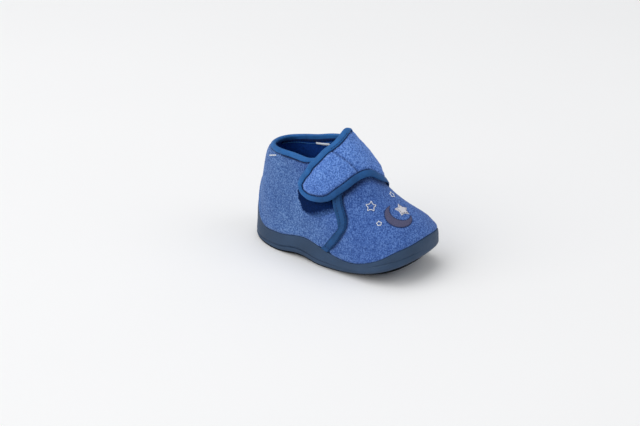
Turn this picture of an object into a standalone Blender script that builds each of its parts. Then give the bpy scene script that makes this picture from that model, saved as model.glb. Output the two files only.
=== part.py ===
"""A toddler's fleece slipper for the right foot, closed by a strap over the instep.

Metres, +X to the toe, +Y to the inner side of the foot, +Z up, and the floor is z = 0. Every piece is laid out on
the last, the foot form that the slipper is built on. A place on it is given by three numbers: round, from 0 at
the back of the heel by the outer side to 0.5 at the toe and back by the inner side to 1; level, from 0 at the
upper's bottom edge to 1 at its top edge; and out, the distance off its surface.
"""

from collections import namedtuple

import bmesh
import bpy
import numpy as np
from mathutils import Matrix

MM = 0.001

# Driving sizes
LENGTH = 146.0 * MM
BALL_WIDTH = 66.5 * MM
HEEL_HEIGHT = 78.0 * MM
INSTEP_HEIGHT = 91.0 * MM
TOE_SPRING = 12.0 * MM
TOE_SPRING_START = 18.0 * MM
TOE_SWING = 4.7 * MM
SWING_POWER = 2.2

# Thicknesses and clearances
GAP = 0.3 * MM
UPPER_WALL = 3.0 * MM
INSOLE_THICKNESS = 4.0 * MM
INSOLE_CLEARANCE = 1.0 * MM
SOLE_LIP = 1.2 * MM
SOLE_FLANGE = 1.3 * MM
SOLE_FILL_LOST = 0.3
STRAP_THICKNESS = 3.2 * MM
TAPE_THICKNESS = 0.7 * MM
TAPE_WIDTH = 5.0 * MM
TAPE_CROWN = 1.3 * MM
TAPE_PROUD = 0.15 * MM
TAPE_STEP = 0.5 * MM
TAPE_SHOULDER = 1.5 * MM
SLAB_GAP = 0.45 * MM
STRAP_TAPE_GAP = 0.45 * MM
LIP_CLEARANCE = 0.008

# Colours
FLEECE_BLUE = (0.09, 0.19, 0.52)
STRAP_BLUE = (0.10, 0.21, 0.56)
TAPE_BLUE = (0.03, 0.085, 0.24)
LINING_NAVY = (0.01, 0.02, 0.08)
LOOP_NAVY = (0.008, 0.02, 0.09)
RUBBER_SLATE = (0.045, 0.075, 0.13)
CLOTH_ROUGHNESS = 0.95
TAPE_ROUGHNESS = 0.7
RUBBER_ROUGHNESS = 0.6

# Mesh counts, the crowding of rows, and small steps
COLUMNS = 64
DISC_ACROSS = 8
WALL_ROWS = 9
WALL_ROWS_CROWD = 1.35
SOLE_EDGE_ROWS = 4
SOLE_OUTSIDE_ROWS = 7
SOLE_OUTSIDE_START = 0.12
SOLE_INSIDE_ROWS = 9
INSOLE_ROWS = 4
STRAP_COLUMNS = 26
STRAP_COLUMNS_CROWD = 1.3
SLAB_COLUMNS = 14
SLAB_ROWS = 4
LEVEL_STEPS = 101
SLOPE_STEP = 1e-4
MERGE = 0.001 * MM

# Contours of the upper from its bottom edge to its top edge. Lengths are shares of half LENGTH, heights at the
# heel of HEEL_HEIGHT and at the front of INSTEP_HEIGHT, widths of half BALL_WIDTH. Climb says how late the
# contour rises on its way to the front, shift moves its widest place along it, and fullness blunts its front.
Contour = namedtuple("Contour", "level heel_x heel_z front_x front_z half_width climb shift fullness")
CONTOURS = (
    Contour(0.0, -0.942, 0.077, 0.940, 0.066, 0.870, 1.0, -0.30, 0.45),
    Contour(0.2, -0.986, 0.245, 1.022, 0.146, 0.970, 1.0, -0.30, 0.45),
    Contour(0.4, -0.962, 0.500, 0.937, 0.316, 0.925, 1.0, -0.28, 0.40),
    Contour(0.6, -0.926, 0.720, 0.592, 0.556, 0.735, 1.2, -0.15, 0.21),
    Contour(0.8, -0.890, 0.880, 0.356, 0.784, 0.645, 1.9, -0.11, 0.09),
    Contour(1.0, -0.810, 1.000, 0.080, 1.000, 0.640, 5.3, -0.07, 0.05),
)
INNER_CLIMB = 0.29
HEEL_FULLNESS = 0.54
HEEL_FULLNESS_LOST = 0.6
WAIST_AT = 0.40
WAIST_SPREAD = 0.15
OUTER_WAIST = 0.08
INNER_WAIST = 0.11
WIDEST_LEVEL = 0.2
COLLAR_DIP = 2.0 * MM
DIP_AT = 0.80
DIP_SPREAD = 0.18
DIP_POWER = 4

# Height of the sole's wall above its underside, from the heel's back (0) to the toe (1)
WallTop = namedtuple("WallTop", "way height")
WALL_TOPS = (
    WallTop(0.000, 42.0 * MM),
    WallTop(0.060, 39.5 * MM),
    WallTop(0.092, 32.0 * MM),
    WallTop(0.118, 25.0 * MM),
    WallTop(0.156, 16.5 * MM),
    WallTop(0.260, 14.0 * MM),
    WallTop(0.380, 17.5 * MM),
    WallTop(0.460, 13.0 * MM),
    WallTop(0.550, 9.5 * MM),
    WallTop(0.650, 12.0 * MM),
    WallTop(0.780, 16.7 * MM),
    WallTop(0.900, 17.7 * MM),
    WallTop(1.000, 18.3 * MM),
)

# Rounding of the sole's lower edge, from the heel's back (0) to the toe (1)
Edge = namedtuple("Edge", "way inset height")
EDGES = (
    Edge(0.00, 4.2 * MM, 5.4 * MM),
    Edge(0.10, 3.0 * MM, 4.6 * MM),
    Edge(0.20, 2.7 * MM, 3.8 * MM),
    Edge(0.42, 6.4 * MM, 5.0 * MM),
    Edge(0.58, 6.2 * MM, 5.0 * MM),
    Edge(0.76, 4.0 * MM, 5.0 * MM),
    Edge(1.00, 3.6 * MM, 5.0 * MM),
)
ARCH_RISE = 2.3 * MM
ARCH_START = -38.0 * MM
ARCH_END = 5.5 * MM

# Grooves between the lugs under the heel and under the forefoot
GrooveRun = namedtuple("GrooveRun", "first_x count")
GROOVE_RUNS = (
    GrooveRun(-60.0 * MM, 3),
    GrooveRun(6.0 * MM, 5),
)
GROOVE_SPACING = 9.0 * MM
GROOVE_WIDTH = 3.0 * MM
GROOVE_DEPTH = 1.5 * MM
GROOVE_OFF_RIM = 8.0 * MM

# Outlines of the pieces that lie on the upper, as places on the last along their two edges
Band = namedtuple("Band", "way low_round low_level high_round high_level")
STRAP = (
    Band(0.00, 0.212, 0.615, 0.212, 0.615),
    Band(0.03, 0.210, 0.580, 0.214, 0.648),
    Band(0.08, 0.220, 0.550, 0.234, 0.740),
    Band(0.15, 0.247, 0.554, 0.259, 0.822),
    Band(0.25, 0.290, 0.594, 0.302, 0.942),
    Band(0.36, 0.350, 0.684, 0.369, 1.018),
    Band(0.47, 0.420, 0.744, 0.438, 1.032),
    Band(0.56, 0.480, 0.741, 0.522, 1.060),
    Band(0.63, 0.528, 0.692, 0.568, 1.032),
    Band(0.71, 0.596, 0.650, 0.628, 0.970),
    Band(0.80, 0.662, 0.566, 0.699, 0.880),
    Band(0.90, 0.732, 0.418, 0.781, 0.620),
    Band(1.00, 0.760, 0.232, 0.845, 0.276),
)
QUARTER_TAPE = (
    Band(0.00, 0.304, 0.645, 0.336, 0.676),
    Band(0.15, 0.292, 0.590, 0.325, 0.618),
    Band(0.30, 0.281, 0.538, 0.313, 0.556),
    Band(0.45, 0.270, 0.478, 0.299, 0.496),
    Band(0.55, 0.261, 0.434, 0.282, 0.448),
    Band(0.65, 0.244, 0.376, 0.263, 0.392),
    Band(0.80, 0.229, 0.300, 0.247, 0.314),
    Band(0.92, 0.221, 0.240, 0.236, 0.240),
    Band(1.00, 0.214, 0.185, 0.229, 0.175),
)
LOOP_PATCH = (
    Band(0.00, 0.190, 0.452, 0.192, 0.505),
    Band(0.15, 0.197, 0.437, 0.198, 0.570),
    Band(0.45, 0.215, 0.450, 0.216, 0.640),
    Band(0.75, 0.243, 0.497, 0.247, 0.680),
    Band(1.00, 0.274, 0.548, 0.284, 0.655),
)
STRAP_OFF_QUARTER = 2.3 * MM
STRAP_OFF_INSTEP = 0.9 * MM
STRAP_SETTLES = (0.28, 0.45)
QUARTER_TAPE_THICKNESS = 1.3 * MM
LOOP_PATCH_THICKNESS = 1.0 * MM


def smooth(knots, values, at):
    """A smooth curve through values at knots, with each slope taken from the neighbouring knots."""
    knots = np.asarray(knots, float)
    values = np.asarray(values, float)
    slopes = np.gradient(values, knots)
    first = np.clip(np.searchsorted(knots, at, side="right") - 1, 0, len(knots) - 2)
    span = knots[first + 1] - knots[first]
    share = (at - knots[first]) / span
    rest = 1 - share
    start = rest**2 * ((1 + 2 * share) * values[first] + share * span * slopes[first])
    end = share**2 * ((1 + 2 * rest) * values[first + 1] - rest * span * slopes[first + 1])
    return start + end


def table(rows, key, column, at):
    """A column of a table as a smooth curve along its key column."""
    return smooth([getattr(row, key) for row in rows], [getattr(row, column) for row in rows], at)


def toe_lift(x):
    """How far the toe spring lifts the slipper at x."""
    reach = np.clip((x - TOE_SPRING_START) / (LENGTH / 2 - TOE_SPRING_START), 0, None)
    return TOE_SPRING * reach**2


def underside(x):
    """Height of the sole's underside at x: flat heel and forefoot, with the arch between them."""
    arch = np.clip((x - ARCH_START) / (ARCH_END - ARCH_START), 0, 1)
    return toe_lift(x) + ARCH_RISE * np.sin(np.pi * arch) ** 2


def last(around, level):
    """Points on the last."""
    around, level = np.broadcast_arrays(np.asarray(around, float), np.asarray(level, float))
    heel_x = table(CONTOURS, "level", "heel_x", level) * LENGTH / 2
    front_x = table(CONTOURS, "level", "front_x", level) * LENGTH / 2
    heel_z = table(CONTOURS, "level", "heel_z", level) * HEEL_HEIGHT
    front_z = table(CONTOURS, "level", "front_z", level) * INSTEP_HEIGHT
    half_width = table(CONTOURS, "level", "half_width", level) * BALL_WIDTH / 2
    climb = table(CONTOURS, "level", "climb", level)
    shift = table(CONTOURS, "level", "shift", level)
    front_fullness = table(CONTOURS, "level", "fullness", level)
    heel_fullness = HEEL_FULLNESS * (1 - HEEL_FULLNESS_LOST * level)
    cosine = np.cos(2 * np.pi * around)
    sine = np.sin(2 * np.pi * around)
    way = (1 - cosine - shift * sine**2) / 2
    x = heel_x + (front_x - heel_x) * way
    outer = (1 + sine) / 2
    fullness = heel_fullness + (front_fullness - heel_fullness) * way
    waist = INNER_WAIST + (OUTER_WAIST - INNER_WAIST) * outer
    narrowing = 1 - waist * np.exp(-(((way - WAIST_AT) / WAIST_SPREAD) ** 2))
    swing = TOE_SWING * np.clip(x / LENGTH + 0.5, 0, None) ** SWING_POWER
    y = swing - half_width * narrowing * sine * (1 + fullness * cosine**2)
    climb = climb * (INNER_CLIMB + (1 - INNER_CLIMB) * outer)
    dip = COLLAR_DIP * outer**2 * level**DIP_POWER * np.exp(-(((way - DIP_AT) / DIP_SPREAD) ** 2))
    z = toe_lift(x) + heel_z + (front_z - heel_z) * np.clip(way, 0, None) ** climb - dip
    return np.stack([x, y, z], axis=-1)


def slopes(around, level):
    """How the last's points move with round and with level."""
    step = SLOPE_STEP
    by_round = (last(around + step, level) - last(around - step, level)) / (2 * step)
    by_level = (last(around, level + step) - last(around, level - step)) / (2 * step)
    return by_round, by_level


def unit(vectors):
    return vectors / np.linalg.norm(vectors, axis=-1, keepdims=True)


def skin(around, level, out=0.0):
    """Points at a distance off the last, outwards."""
    by_round, by_level = slopes(around, level)
    return last(around, level) + unit(np.cross(by_round, by_level)) * np.asarray(out)[..., None]


def walk(around, level, steps, closed=False):
    """The places a step away from a path on the last, square to it and to the left of its course."""
    by_round, by_level = slopes(around, level)
    points = last(around, level)
    if closed:
        course = np.gradient(np.concatenate([points[-2:-1], points, points[1:2]]), axis=0)[1:-1]
    else:
        course = np.gradient(points, axis=0)
    aside = unit(np.cross(np.cross(by_round, by_level), course)) * np.asarray(steps)[..., None]
    round_round = (by_round * by_round).sum(-1)
    round_level = (by_round * by_level).sum(-1)
    level_level = (by_level * by_level).sum(-1)
    round_aside = (by_round * aside).sum(-1)
    level_aside = (by_level * aside).sum(-1)
    spread = round_round * level_level - round_level**2
    round_step = (round_aside * level_level - level_aside * round_level) / spread
    level_step = (level_aside * round_round - round_aside * round_level) / spread
    return around + round_step, level + level_step


def level_at(around, height, out=0.0):
    """The level at which the last, or a skin off it, stands a height above the slipper's underside."""
    levels = np.linspace(0, 1, LEVEL_STEPS)
    places, grid = np.meshgrid(around, levels, indexing="ij")
    points = skin(places, grid, np.full_like(grid, out))
    heights = points[..., 2] - toe_lift(points[..., 0])
    wanted = np.broadcast_to(height, around.shape)
    return np.array([np.interp(one, column, levels) for one, column in zip(wanted, heights)])


def sheet(shape, rows):
    """Adds a grid of faces through rows of points."""
    rows = np.asarray(rows)
    down, along = rows.shape[0] - 1, rows.shape[1] - 1
    made = bmesh.ops.create_grid(shape, x_segments=along, y_segments=down, size=1.0)["verts"]
    for vert in made:
        column = round((vert.co.x + 1) / 2 * along)
        row = round((vert.co.y + 1) / 2 * down)
        vert.co = rows[row, column]


def disc(shape, rim, height):
    """Adds a grid of faces that fills a rim of points, with each inner point at height(x)."""
    heel = DISC_ACROSS // 2
    toe = COLUMNS // 2 - heel
    outer = rim[heel : toe + 1]
    inner = rim[COLUMNS - toe : COLUMNS - heel + 1][::-1]
    back = np.concatenate([rim[COLUMNS - heel : COLUMNS], rim[: heel + 1]])[::-1]
    front = rim[toe : COLUMNS - toe + 1]
    along = np.linspace(0, 1, len(outer))[None, :, None]
    across = np.linspace(0, 1, len(back))[:, None, None]
    rows = (1 - across) * outer[None] + across * inner[None]
    rows += (1 - along) * back[:, None] + along * front[:, None]
    rows -= (1 - across) * ((1 - along) * outer[0] + along * outer[-1])
    rows -= across * ((1 - along) * inner[0] + along * inner[-1])
    rows[1:-1, 1:-1, 2] = height(rows[1:-1, 1:-1, 0])
    sheet(shape, rows)


def cap(shape, loop):
    """Adds one face across a closed loop of points."""
    shape.faces.new([shape.verts.new(point) for point in loop])


def material(name, colour, roughness):
    """A plain material."""
    made = bpy.data.materials.new(name)
    made.use_nodes = True
    shader = made.node_tree.nodes["Principled BSDF"]
    shader.inputs["Base Color"].default_value = (*colour, 1.0)
    shader.inputs["Roughness"].default_value = roughness
    shader.inputs["Metallic"].default_value = 0.0
    return made


def solid(name, shape, look):
    """Closes a shape's seams and makes it a named object."""
    bmesh.ops.remove_doubles(shape, verts=shape.verts[:], dist=MERGE)
    bmesh.ops.dissolve_degenerate(shape, edges=shape.edges[:], dist=MERGE)
    bmesh.ops.recalc_face_normals(shape, faces=shape.faces[:])
    mesh = bpy.data.meshes.new(name)
    shape.to_mesh(mesh)
    shape.free()
    mesh.shade_smooth()
    mesh.materials.append(look)
    made = bpy.data.objects.new(name, mesh)
    bpy.context.scene.collection.objects.link(made)
    return made


def ring():
    """One place for each column round the last, the first repeated at the end."""
    return np.linspace(0, 1, COLUMNS + 1)


def top_edge(depth):
    """The ring of places at a depth below the upper's top edge."""
    around = ring()
    return walk(around, np.ones_like(around), np.full_like(around, -depth), closed=True)


def upper():
    """The upper: one wall, thinner at the top where the collar's tape folds over it."""
    shape = bmesh.new()
    around = ring()
    pinch = TAPE_THICKNESS + GAP
    full_round, full_level = top_edge(TAPE_WIDTH + TAPE_SHOULDER)
    outside = []
    inside = []
    for share in np.linspace(0, 1, WALL_ROWS + 1) ** WALL_ROWS_CROWD:
        place = (around + (full_round - around) * share, full_level * share)
        outside.append(skin(*place, np.zeros_like(around)))
        inside.append(skin(*place, np.full_like(around, -UPPER_WALL)))
    for depth in (TAPE_WIDTH + TAPE_STEP, TAPE_WIDTH / 2, TAPE_CROWN):
        place = top_edge(depth)
        outside.append(skin(*place, np.full_like(around, -pinch)))
        inside.append(skin(*place, np.full_like(around, pinch - UPPER_WALL)))
    sheet(shape, outside + inside[::-1] + outside[:1])
    return solid("upper", shape, material("fleece_blue", FLEECE_BLUE, CLOTH_ROUGHNESS))


def heel_to_toe(around):
    """How far places lie from the heel's back (0) to the toe (1), on either side."""
    return 1 - np.abs(1 - 2 * around)


def wall_top(around):
    """The level of the sole's lip at each column."""
    return level_at(around, table(WALL_TOPS, "way", "height", heel_to_toe(around)))


def outline(around):
    """The last's widest contour, seen from above, and the direction outwards from it."""
    level = np.full_like(around, WIDEST_LEVEL)
    by_round, _ = slopes(around, level)
    outward = unit(np.stack([by_round[:, 1], -by_round[:, 0], np.zeros_like(around)], axis=-1))
    return last(around, level), outward


def sole_outside(around, lip, share):
    """The sole's outer face at a share of the way up from the upper's bottom edge to the lip's level."""
    level = lip * share
    points = last(around, level)
    widest, outward = outline(around)
    inset = np.clip(((widest - points) * outward).sum(-1), 0, None)
    fill = np.where(level < WIDEST_LEVEL, inset * (1 - SOLE_FILL_LOST * share), 0.0)
    thickness = GAP + SOLE_LIP + fill + SOLE_FLANGE * (1 - share)
    return points + outward * thickness[:, None]


def floor_height():
    """Height of the sole's inner floor above its underside."""
    return HEEL_HEIGHT * CONTOURS[0].heel_z - GAP


def sole_floor(x):
    """Height of the sole's inner floor at x."""
    return toe_lift(x) + floor_height()


def insole_bottom(x):
    """Height of the insole's lower face at x."""
    return sole_floor(x) + GAP


def insole_top(x):
    """Height of the insole's upper face at x."""
    return insole_bottom(x) + INSOLE_THICKNESS


def grooves(look):
    """The hidden cutter for the grooves between the sole's lugs."""
    shape = bmesh.new()
    rim, _ = outline(ring())
    outer_rim = rim[: COLUMNS // 2 + 1]
    inner_rim = rim[::-1][: COLUMNS // 2 + 1]
    for run in GROOVE_RUNS:
        for number in range(run.count):
            x = run.first_x + number * GROOVE_SPACING
            low = np.interp(x, outer_rim[:, 0], outer_rim[:, 1]) + GROOVE_OFF_RIM
            high = np.interp(x, inner_rim[:, 0], inner_rim[:, 1]) - GROOVE_OFF_RIM
            place = Matrix.Translation((x, (low + high) / 2, underside(x)))
            size = Matrix.Diagonal((GROOVE_WIDTH, high - low, 2 * GROOVE_DEPTH, 1.0))
            bmesh.ops.create_cube(shape, size=1.0, matrix=place @ size)
    cutter = solid("grooves", shape, look)
    cutter.hide_render = True
    cutter.display_type = "WIRE"
    return cutter


def sole():
    """The cup sole: a rounded lower edge, a side wall up to the lip, a floor inside and grooves underneath."""
    shape = bmesh.new()
    around = ring()
    lip = wall_top(around)
    base = sole_outside(around, lip, 0.0)
    _, outward = outline(around)
    rows = []
    inset = table(EDGES, "way", "inset", heel_to_toe(around))
    height = table(EDGES, "way", "height", heel_to_toe(around))
    for turn in np.linspace(0, np.pi / 2, SOLE_EDGE_ROWS):
        edge = base - outward * (inset * (1 - np.sin(turn)))[:, None]
        edge[:, 2] = underside(edge[:, 0]) + height * (1 - np.cos(turn))
        rows.append(edge)
    for share in np.linspace(SOLE_OUTSIDE_START, 1, SOLE_OUTSIDE_ROWS):
        rows.append(sole_outside(around, lip, share))
    for share in np.linspace(1, 0, SOLE_INSIDE_ROWS):
        rows.append(skin(around, lip * share, np.full_like(around, GAP)))
    floor = rows[-1].copy()
    floor[:, 2] = sole_floor(floor[:, 0])
    rows.append(floor)
    sheet(shape, rows)
    disc(shape, rows[0], underside)
    disc(shape, floor, sole_floor)
    look = material("rubber_slate", RUBBER_SLATE, RUBBER_ROUGHNESS)
    made = solid("sole", shape, look)
    cut = made.modifiers.new("grooves", "BOOLEAN")
    cut.operation = "DIFFERENCE"
    cut.solver = "EXACT"
    cut.object = grooves(look)
    return made


def insole():
    """The insole, lying on the sole's floor inside the upper."""
    shape = bmesh.new()
    around = ring()
    rows = []
    for rise in np.linspace(0, INSOLE_THICKNESS, INSOLE_ROWS):
        level = level_at(around, floor_height() + GAP + rise, -UPPER_WALL)
        edge = skin(around, level, np.full_like(around, -UPPER_WALL - INSOLE_CLEARANCE))
        edge[:, 2] = insole_bottom(edge[:, 0]) + rise
        rows.append(edge)
    sheet(shape, rows)
    disc(shape, rows[0], insole_bottom)
    disc(shape, rows[-1], insole_top)
    return solid("insole", shape, material("lining_navy", LINING_NAVY, CLOTH_ROUGHNESS))


def binding(name, around, level, inside, thickness, closed):
    """A tape folded over the edge of a wall, along the outline that its fold reaches."""
    shape = bmesh.new()
    leg = TAPE_THICKNESS
    fold = -TAPE_CROWN + GAP
    section = (
        (thickness + TAPE_PROUD, -TAPE_WIDTH),
        (thickness + TAPE_PROUD, fold),
        (thickness - leg, fold / 4),
        (thickness / 2, 0.0),
        (leg, fold / 4),
        (0.0, fold),
        (0.0, -TAPE_WIDTH),
        (leg, -TAPE_WIDTH),
        (leg, fold),
        (thickness - leg, fold),
        (thickness - leg, -TAPE_WIDTH),
    )
    rows = []
    for out, aside in section:
        place = walk(around, level, np.full_like(around, aside), closed)
        rows.append(skin(*place, inside(place[0]) + out))
    sheet(shape, rows + rows[:1])
    if not closed:
        cap(shape, [row[0] for row in rows])
        cap(shape, [row[-1] for row in rows])
    return solid(name, shape, material(name + "_tape", TAPE_BLUE, TAPE_ROUGHNESS))


def collar_inside(around):
    """The inner face of the upper's wall, as a distance off the last."""
    return np.full_like(around, -UPPER_WALL)


def collar_binding():
    """The tape folded over the upper's top edge."""
    around = ring()
    return binding("collar_binding", around, np.ones_like(around), collar_inside, UPPER_WALL, True)


def strap_inside(around):
    """The strap's distance off the last: over the instep it lies on the upper, at its end on the patch."""
    start, end = STRAP_SETTLES
    share = np.clip((around - start) / (end - start), 0, 1)
    share = share**2 * (3 - 2 * share)
    return STRAP_OFF_QUARTER + (STRAP_OFF_INSTEP - STRAP_OFF_QUARTER) * share


def strap_outline():
    """The strap's outline, from its foot along the front edge, round its free end and back along the rear edge."""
    along = np.linspace(-1, 1, 2 * STRAP_COLUMNS + 1)
    along = np.sign(along) * np.abs(along) ** STRAP_COLUMNS_CROWD
    ways = [-row.way for row in STRAP[:0:-1]] + [row.way for row in STRAP]
    rounds = [row.low_round for row in STRAP[:0:-1]] + [row.high_round for row in STRAP]
    levels = [row.low_level for row in STRAP[:0:-1]] + [row.high_level for row in STRAP]
    return smooth(ways, rounds, along), smooth(ways, levels, along)


def strap():
    """The strap, thinner along its edges where the tape folds over it."""
    shape = bmesh.new()
    around, level = strap_outline()
    pinch = TAPE_THICKNESS + STRAP_TAPE_GAP
    edge_depth = TAPE_CROWN - GAP + STRAP_TAPE_GAP
    depths = ((edge_depth, pinch), (TAPE_WIDTH + TAPE_STEP, pinch), (TAPE_WIDTH + TAPE_SHOULDER, 0.0))
    rings = [(*walk(around, level, np.full_like(around, -depth)), thinned) for depth, thinned in depths]
    full_round, full_level, _ = rings[-1]
    spine_round = (full_round + full_round[::-1]) / 2
    spine_level = (full_level + full_level[::-1]) / 2
    rings.append(((full_round + spine_round) / 2, (full_level + spine_level) / 2, 0.0))
    rings.append((spine_round, spine_level, 0.0))
    outer = []
    inner = []
    for ring_round, ring_level, thinned in rings:
        base = strap_inside(ring_round)
        outer.append(skin(ring_round, ring_level, base + STRAP_THICKNESS - thinned))
        inner.append(skin(ring_round, ring_level, base + thinned))
    sheet(shape, outer[::-1] + inner)
    for end in (0, -1):
        sheet(shape, [[row[end] for row in outer], [row[end] for row in inner]])
    return solid("strap", shape, material("strap_fleece", STRAP_BLUE, CLOTH_ROUGHNESS))


def strap_binding():
    """The tape folded over the strap's edge."""
    around, level = strap_outline()
    return binding("strap_binding", around, level, strap_inside, STRAP_THICKNESS, False)


def slab(name, rows, thickness, look):
    """A flat piece between two edges on the upper."""
    shape = bmesh.new()
    steps = (np.linspace(0, 1, SLAB_COLUMNS + 1), np.linspace(0, 1, SLAB_ROWS + 1))
    way, across = np.meshgrid(*steps, indexing="ij")
    low_round, low_level, high_round, high_level = (table(rows, "way", name, way) for name in Band._fields[1:])
    around = low_round + (high_round - low_round) * across
    level = low_level + (high_level - low_level) * across
    lip = wall_top(around.ravel()).reshape(around.shape)
    level = np.maximum(level, lip + LIP_CLEARANCE)
    outer = skin(around, level, np.full_like(around, SLAB_GAP + thickness))
    inner = skin(around, level, np.full_like(around, SLAB_GAP))
    sheet(shape, outer)
    sheet(shape, inner)
    for rim in (np.s_[0], np.s_[-1], np.s_[:, 0], np.s_[:, -1]):
        sheet(shape, [outer[rim], inner[rim]])
    return solid(name, shape, look)


def quarter_binding():
    """The tape along the front edge of the outer quarter."""
    look = material("quarter_tape", TAPE_BLUE, TAPE_ROUGHNESS)
    return slab("quarter_binding", QUARTER_TAPE, QUARTER_TAPE_THICKNESS, look)


def loop_patch():
    """The loop patch under the strap's free end."""
    look = material("loop_navy", LOOP_NAVY, CLOTH_ROUGHNESS)
    return slab("loop_patch", LOOP_PATCH, LOOP_PATCH_THICKNESS, look)


def main():
    """Builds the pieces and centres the slipper on the sole's middle."""
    for old in list(bpy.data.objects):
        bpy.data.objects.remove(old)
    pieces = [sole(), insole(), upper(), collar_binding(), strap(), strap_binding(), quarter_binding(), loop_patch()]
    corners = np.array([vert.co for vert in pieces[0].data.vertices])
    middle = (corners.min(0) + corners.max(0)) / 2
    slipper = bpy.data.objects.new("slipper", None)
    slipper.location = (-middle[0], -middle[1], 0)
    for piece in bpy.context.scene.collection.objects:
        piece.parent = slipper
    bpy.context.scene.collection.objects.link(slipper)


main()
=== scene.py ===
"""Looks of a toddler's fleece slipper for the right foot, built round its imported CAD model.

Metres, +X to the toe, +Y to the inner side of the foot, +Z up. Every piece is laid out on the last, the
foot form that the slipper is built on. A place on it is given by three numbers: round, from 0 at the back of
the heel by the outer side to 0.5 at the toe and back by the inner side to 1; level, from 0 at the upper's
bottom edge to 1 at its top edge; and out, the distance off its surface.
"""

import math
from collections import namedtuple

import bmesh
import bpy
import numpy as np
from bpy.props import FloatProperty, FloatVectorProperty, PointerProperty
from mathutils import Matrix, Vector, noise


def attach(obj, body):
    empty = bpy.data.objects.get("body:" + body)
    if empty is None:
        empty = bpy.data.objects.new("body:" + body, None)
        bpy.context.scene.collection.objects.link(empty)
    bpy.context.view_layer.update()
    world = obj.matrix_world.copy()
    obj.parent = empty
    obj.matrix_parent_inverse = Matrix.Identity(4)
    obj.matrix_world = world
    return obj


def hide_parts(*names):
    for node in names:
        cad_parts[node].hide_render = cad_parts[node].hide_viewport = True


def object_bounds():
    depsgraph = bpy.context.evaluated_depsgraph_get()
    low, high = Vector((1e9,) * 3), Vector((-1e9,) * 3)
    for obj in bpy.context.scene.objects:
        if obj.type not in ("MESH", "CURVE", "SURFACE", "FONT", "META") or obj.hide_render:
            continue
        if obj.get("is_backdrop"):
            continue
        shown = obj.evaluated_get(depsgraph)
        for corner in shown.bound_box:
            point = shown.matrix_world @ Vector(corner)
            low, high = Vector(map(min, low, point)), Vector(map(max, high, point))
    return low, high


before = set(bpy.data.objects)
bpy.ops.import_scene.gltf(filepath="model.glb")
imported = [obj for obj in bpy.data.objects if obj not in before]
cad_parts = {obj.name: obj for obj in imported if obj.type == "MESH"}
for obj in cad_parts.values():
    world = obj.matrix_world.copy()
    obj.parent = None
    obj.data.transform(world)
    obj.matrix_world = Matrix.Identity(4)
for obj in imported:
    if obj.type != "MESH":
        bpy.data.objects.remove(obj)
CAD_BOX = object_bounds()

bl_info = {
    "name": "Fleece slipper",
    "version": (1, 0, 0),
    "blender": (4, 5, 0),
    "location": "View3D > Sidebar > Slipper",
    "description": "Builds the looks of a toddler's fleece slipper round its CAD model",
    "category": "Object",
}

MM = 0.001

# The last's driving sizes, as in the CAD model
LENGTH = 146.0 * MM
BALL_WIDTH = 66.5 * MM
HEEL_HEIGHT = 78.0 * MM
INSTEP_HEIGHT = 91.0 * MM
TOE_SPRING = 12.0 * MM
TOE_SPRING_START = 18.0 * MM
TOE_SWING = 4.7 * MM
SWING_POWER = 2.2
GAP = 0.3 * MM
UPPER_WALL = 3.0 * MM
SOLE_LIP = 1.2 * MM
SOLE_FLANGE = 1.3 * MM
SOLE_FILL_LOST = 0.3
INSOLE_THICKNESS = 4.0 * MM
INSOLE_CLEARANCE = 1.0 * MM
STRAP_THICKNESS = 3.2 * MM
CAD_COLUMNS = 64
CAD_WALL_SHARES = (0.0, *np.linspace(0.12, 1, 7))
LEVEL_STEPS = 101
SLOPE_STEP = 1e-4
WELD = 0.002 * MM
STRAIGHT_WITHIN = 6.5 * MM

# Contours of the upper from its bottom edge to its top edge, as shares of the driving sizes
Contour = namedtuple("Contour", "level heel_x heel_z front_x front_z half_width climb shift fullness")
CONTOURS = (
    Contour(0.0, -0.942, 0.077, 0.940, 0.066, 0.870, 1.0, -0.30, 0.45),
    Contour(0.2, -0.986, 0.245, 1.022, 0.146, 0.970, 1.0, -0.30, 0.45),
    Contour(0.4, -0.962, 0.500, 0.937, 0.316, 0.925, 1.0, -0.28, 0.40),
    Contour(0.6, -0.926, 0.720, 0.592, 0.556, 0.735, 1.2, -0.15, 0.21),
    Contour(0.8, -0.890, 0.880, 0.356, 0.784, 0.645, 1.9, -0.11, 0.09),
    Contour(1.0, -0.810, 1.000, 0.080, 1.000, 0.640, 5.3, -0.07, 0.05),
)
INNER_CLIMB = 0.29
HEEL_FULLNESS = 0.54
HEEL_FULLNESS_LOST = 0.6
WAIST_AT = 0.40
WAIST_SPREAD = 0.15
OUTER_WAIST = 0.08
INNER_WAIST = 0.11
WIDEST_LEVEL = 0.2
COLLAR_DIP = 2.0 * MM
DIP_AT = 0.80
DIP_SPREAD = 0.18
DIP_POWER = 4

# Height of the sole's wall above its underside, from the heel's back (0) to the toe (1)
WallTop = namedtuple("WallTop", "way height")
WALL_TOPS = (
    WallTop(0.000, 42.0 * MM),
    WallTop(0.060, 39.5 * MM),
    WallTop(0.092, 32.0 * MM),
    WallTop(0.118, 25.0 * MM),
    WallTop(0.156, 16.5 * MM),
    WallTop(0.260, 14.0 * MM),
    WallTop(0.380, 17.5 * MM),
    WallTop(0.460, 13.0 * MM),
    WallTop(0.550, 9.5 * MM),
    WallTop(0.650, 12.0 * MM),
    WallTop(0.780, 16.7 * MM),
    WallTop(0.900, 17.7 * MM),
    WallTop(1.000, 18.3 * MM),
)

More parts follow.
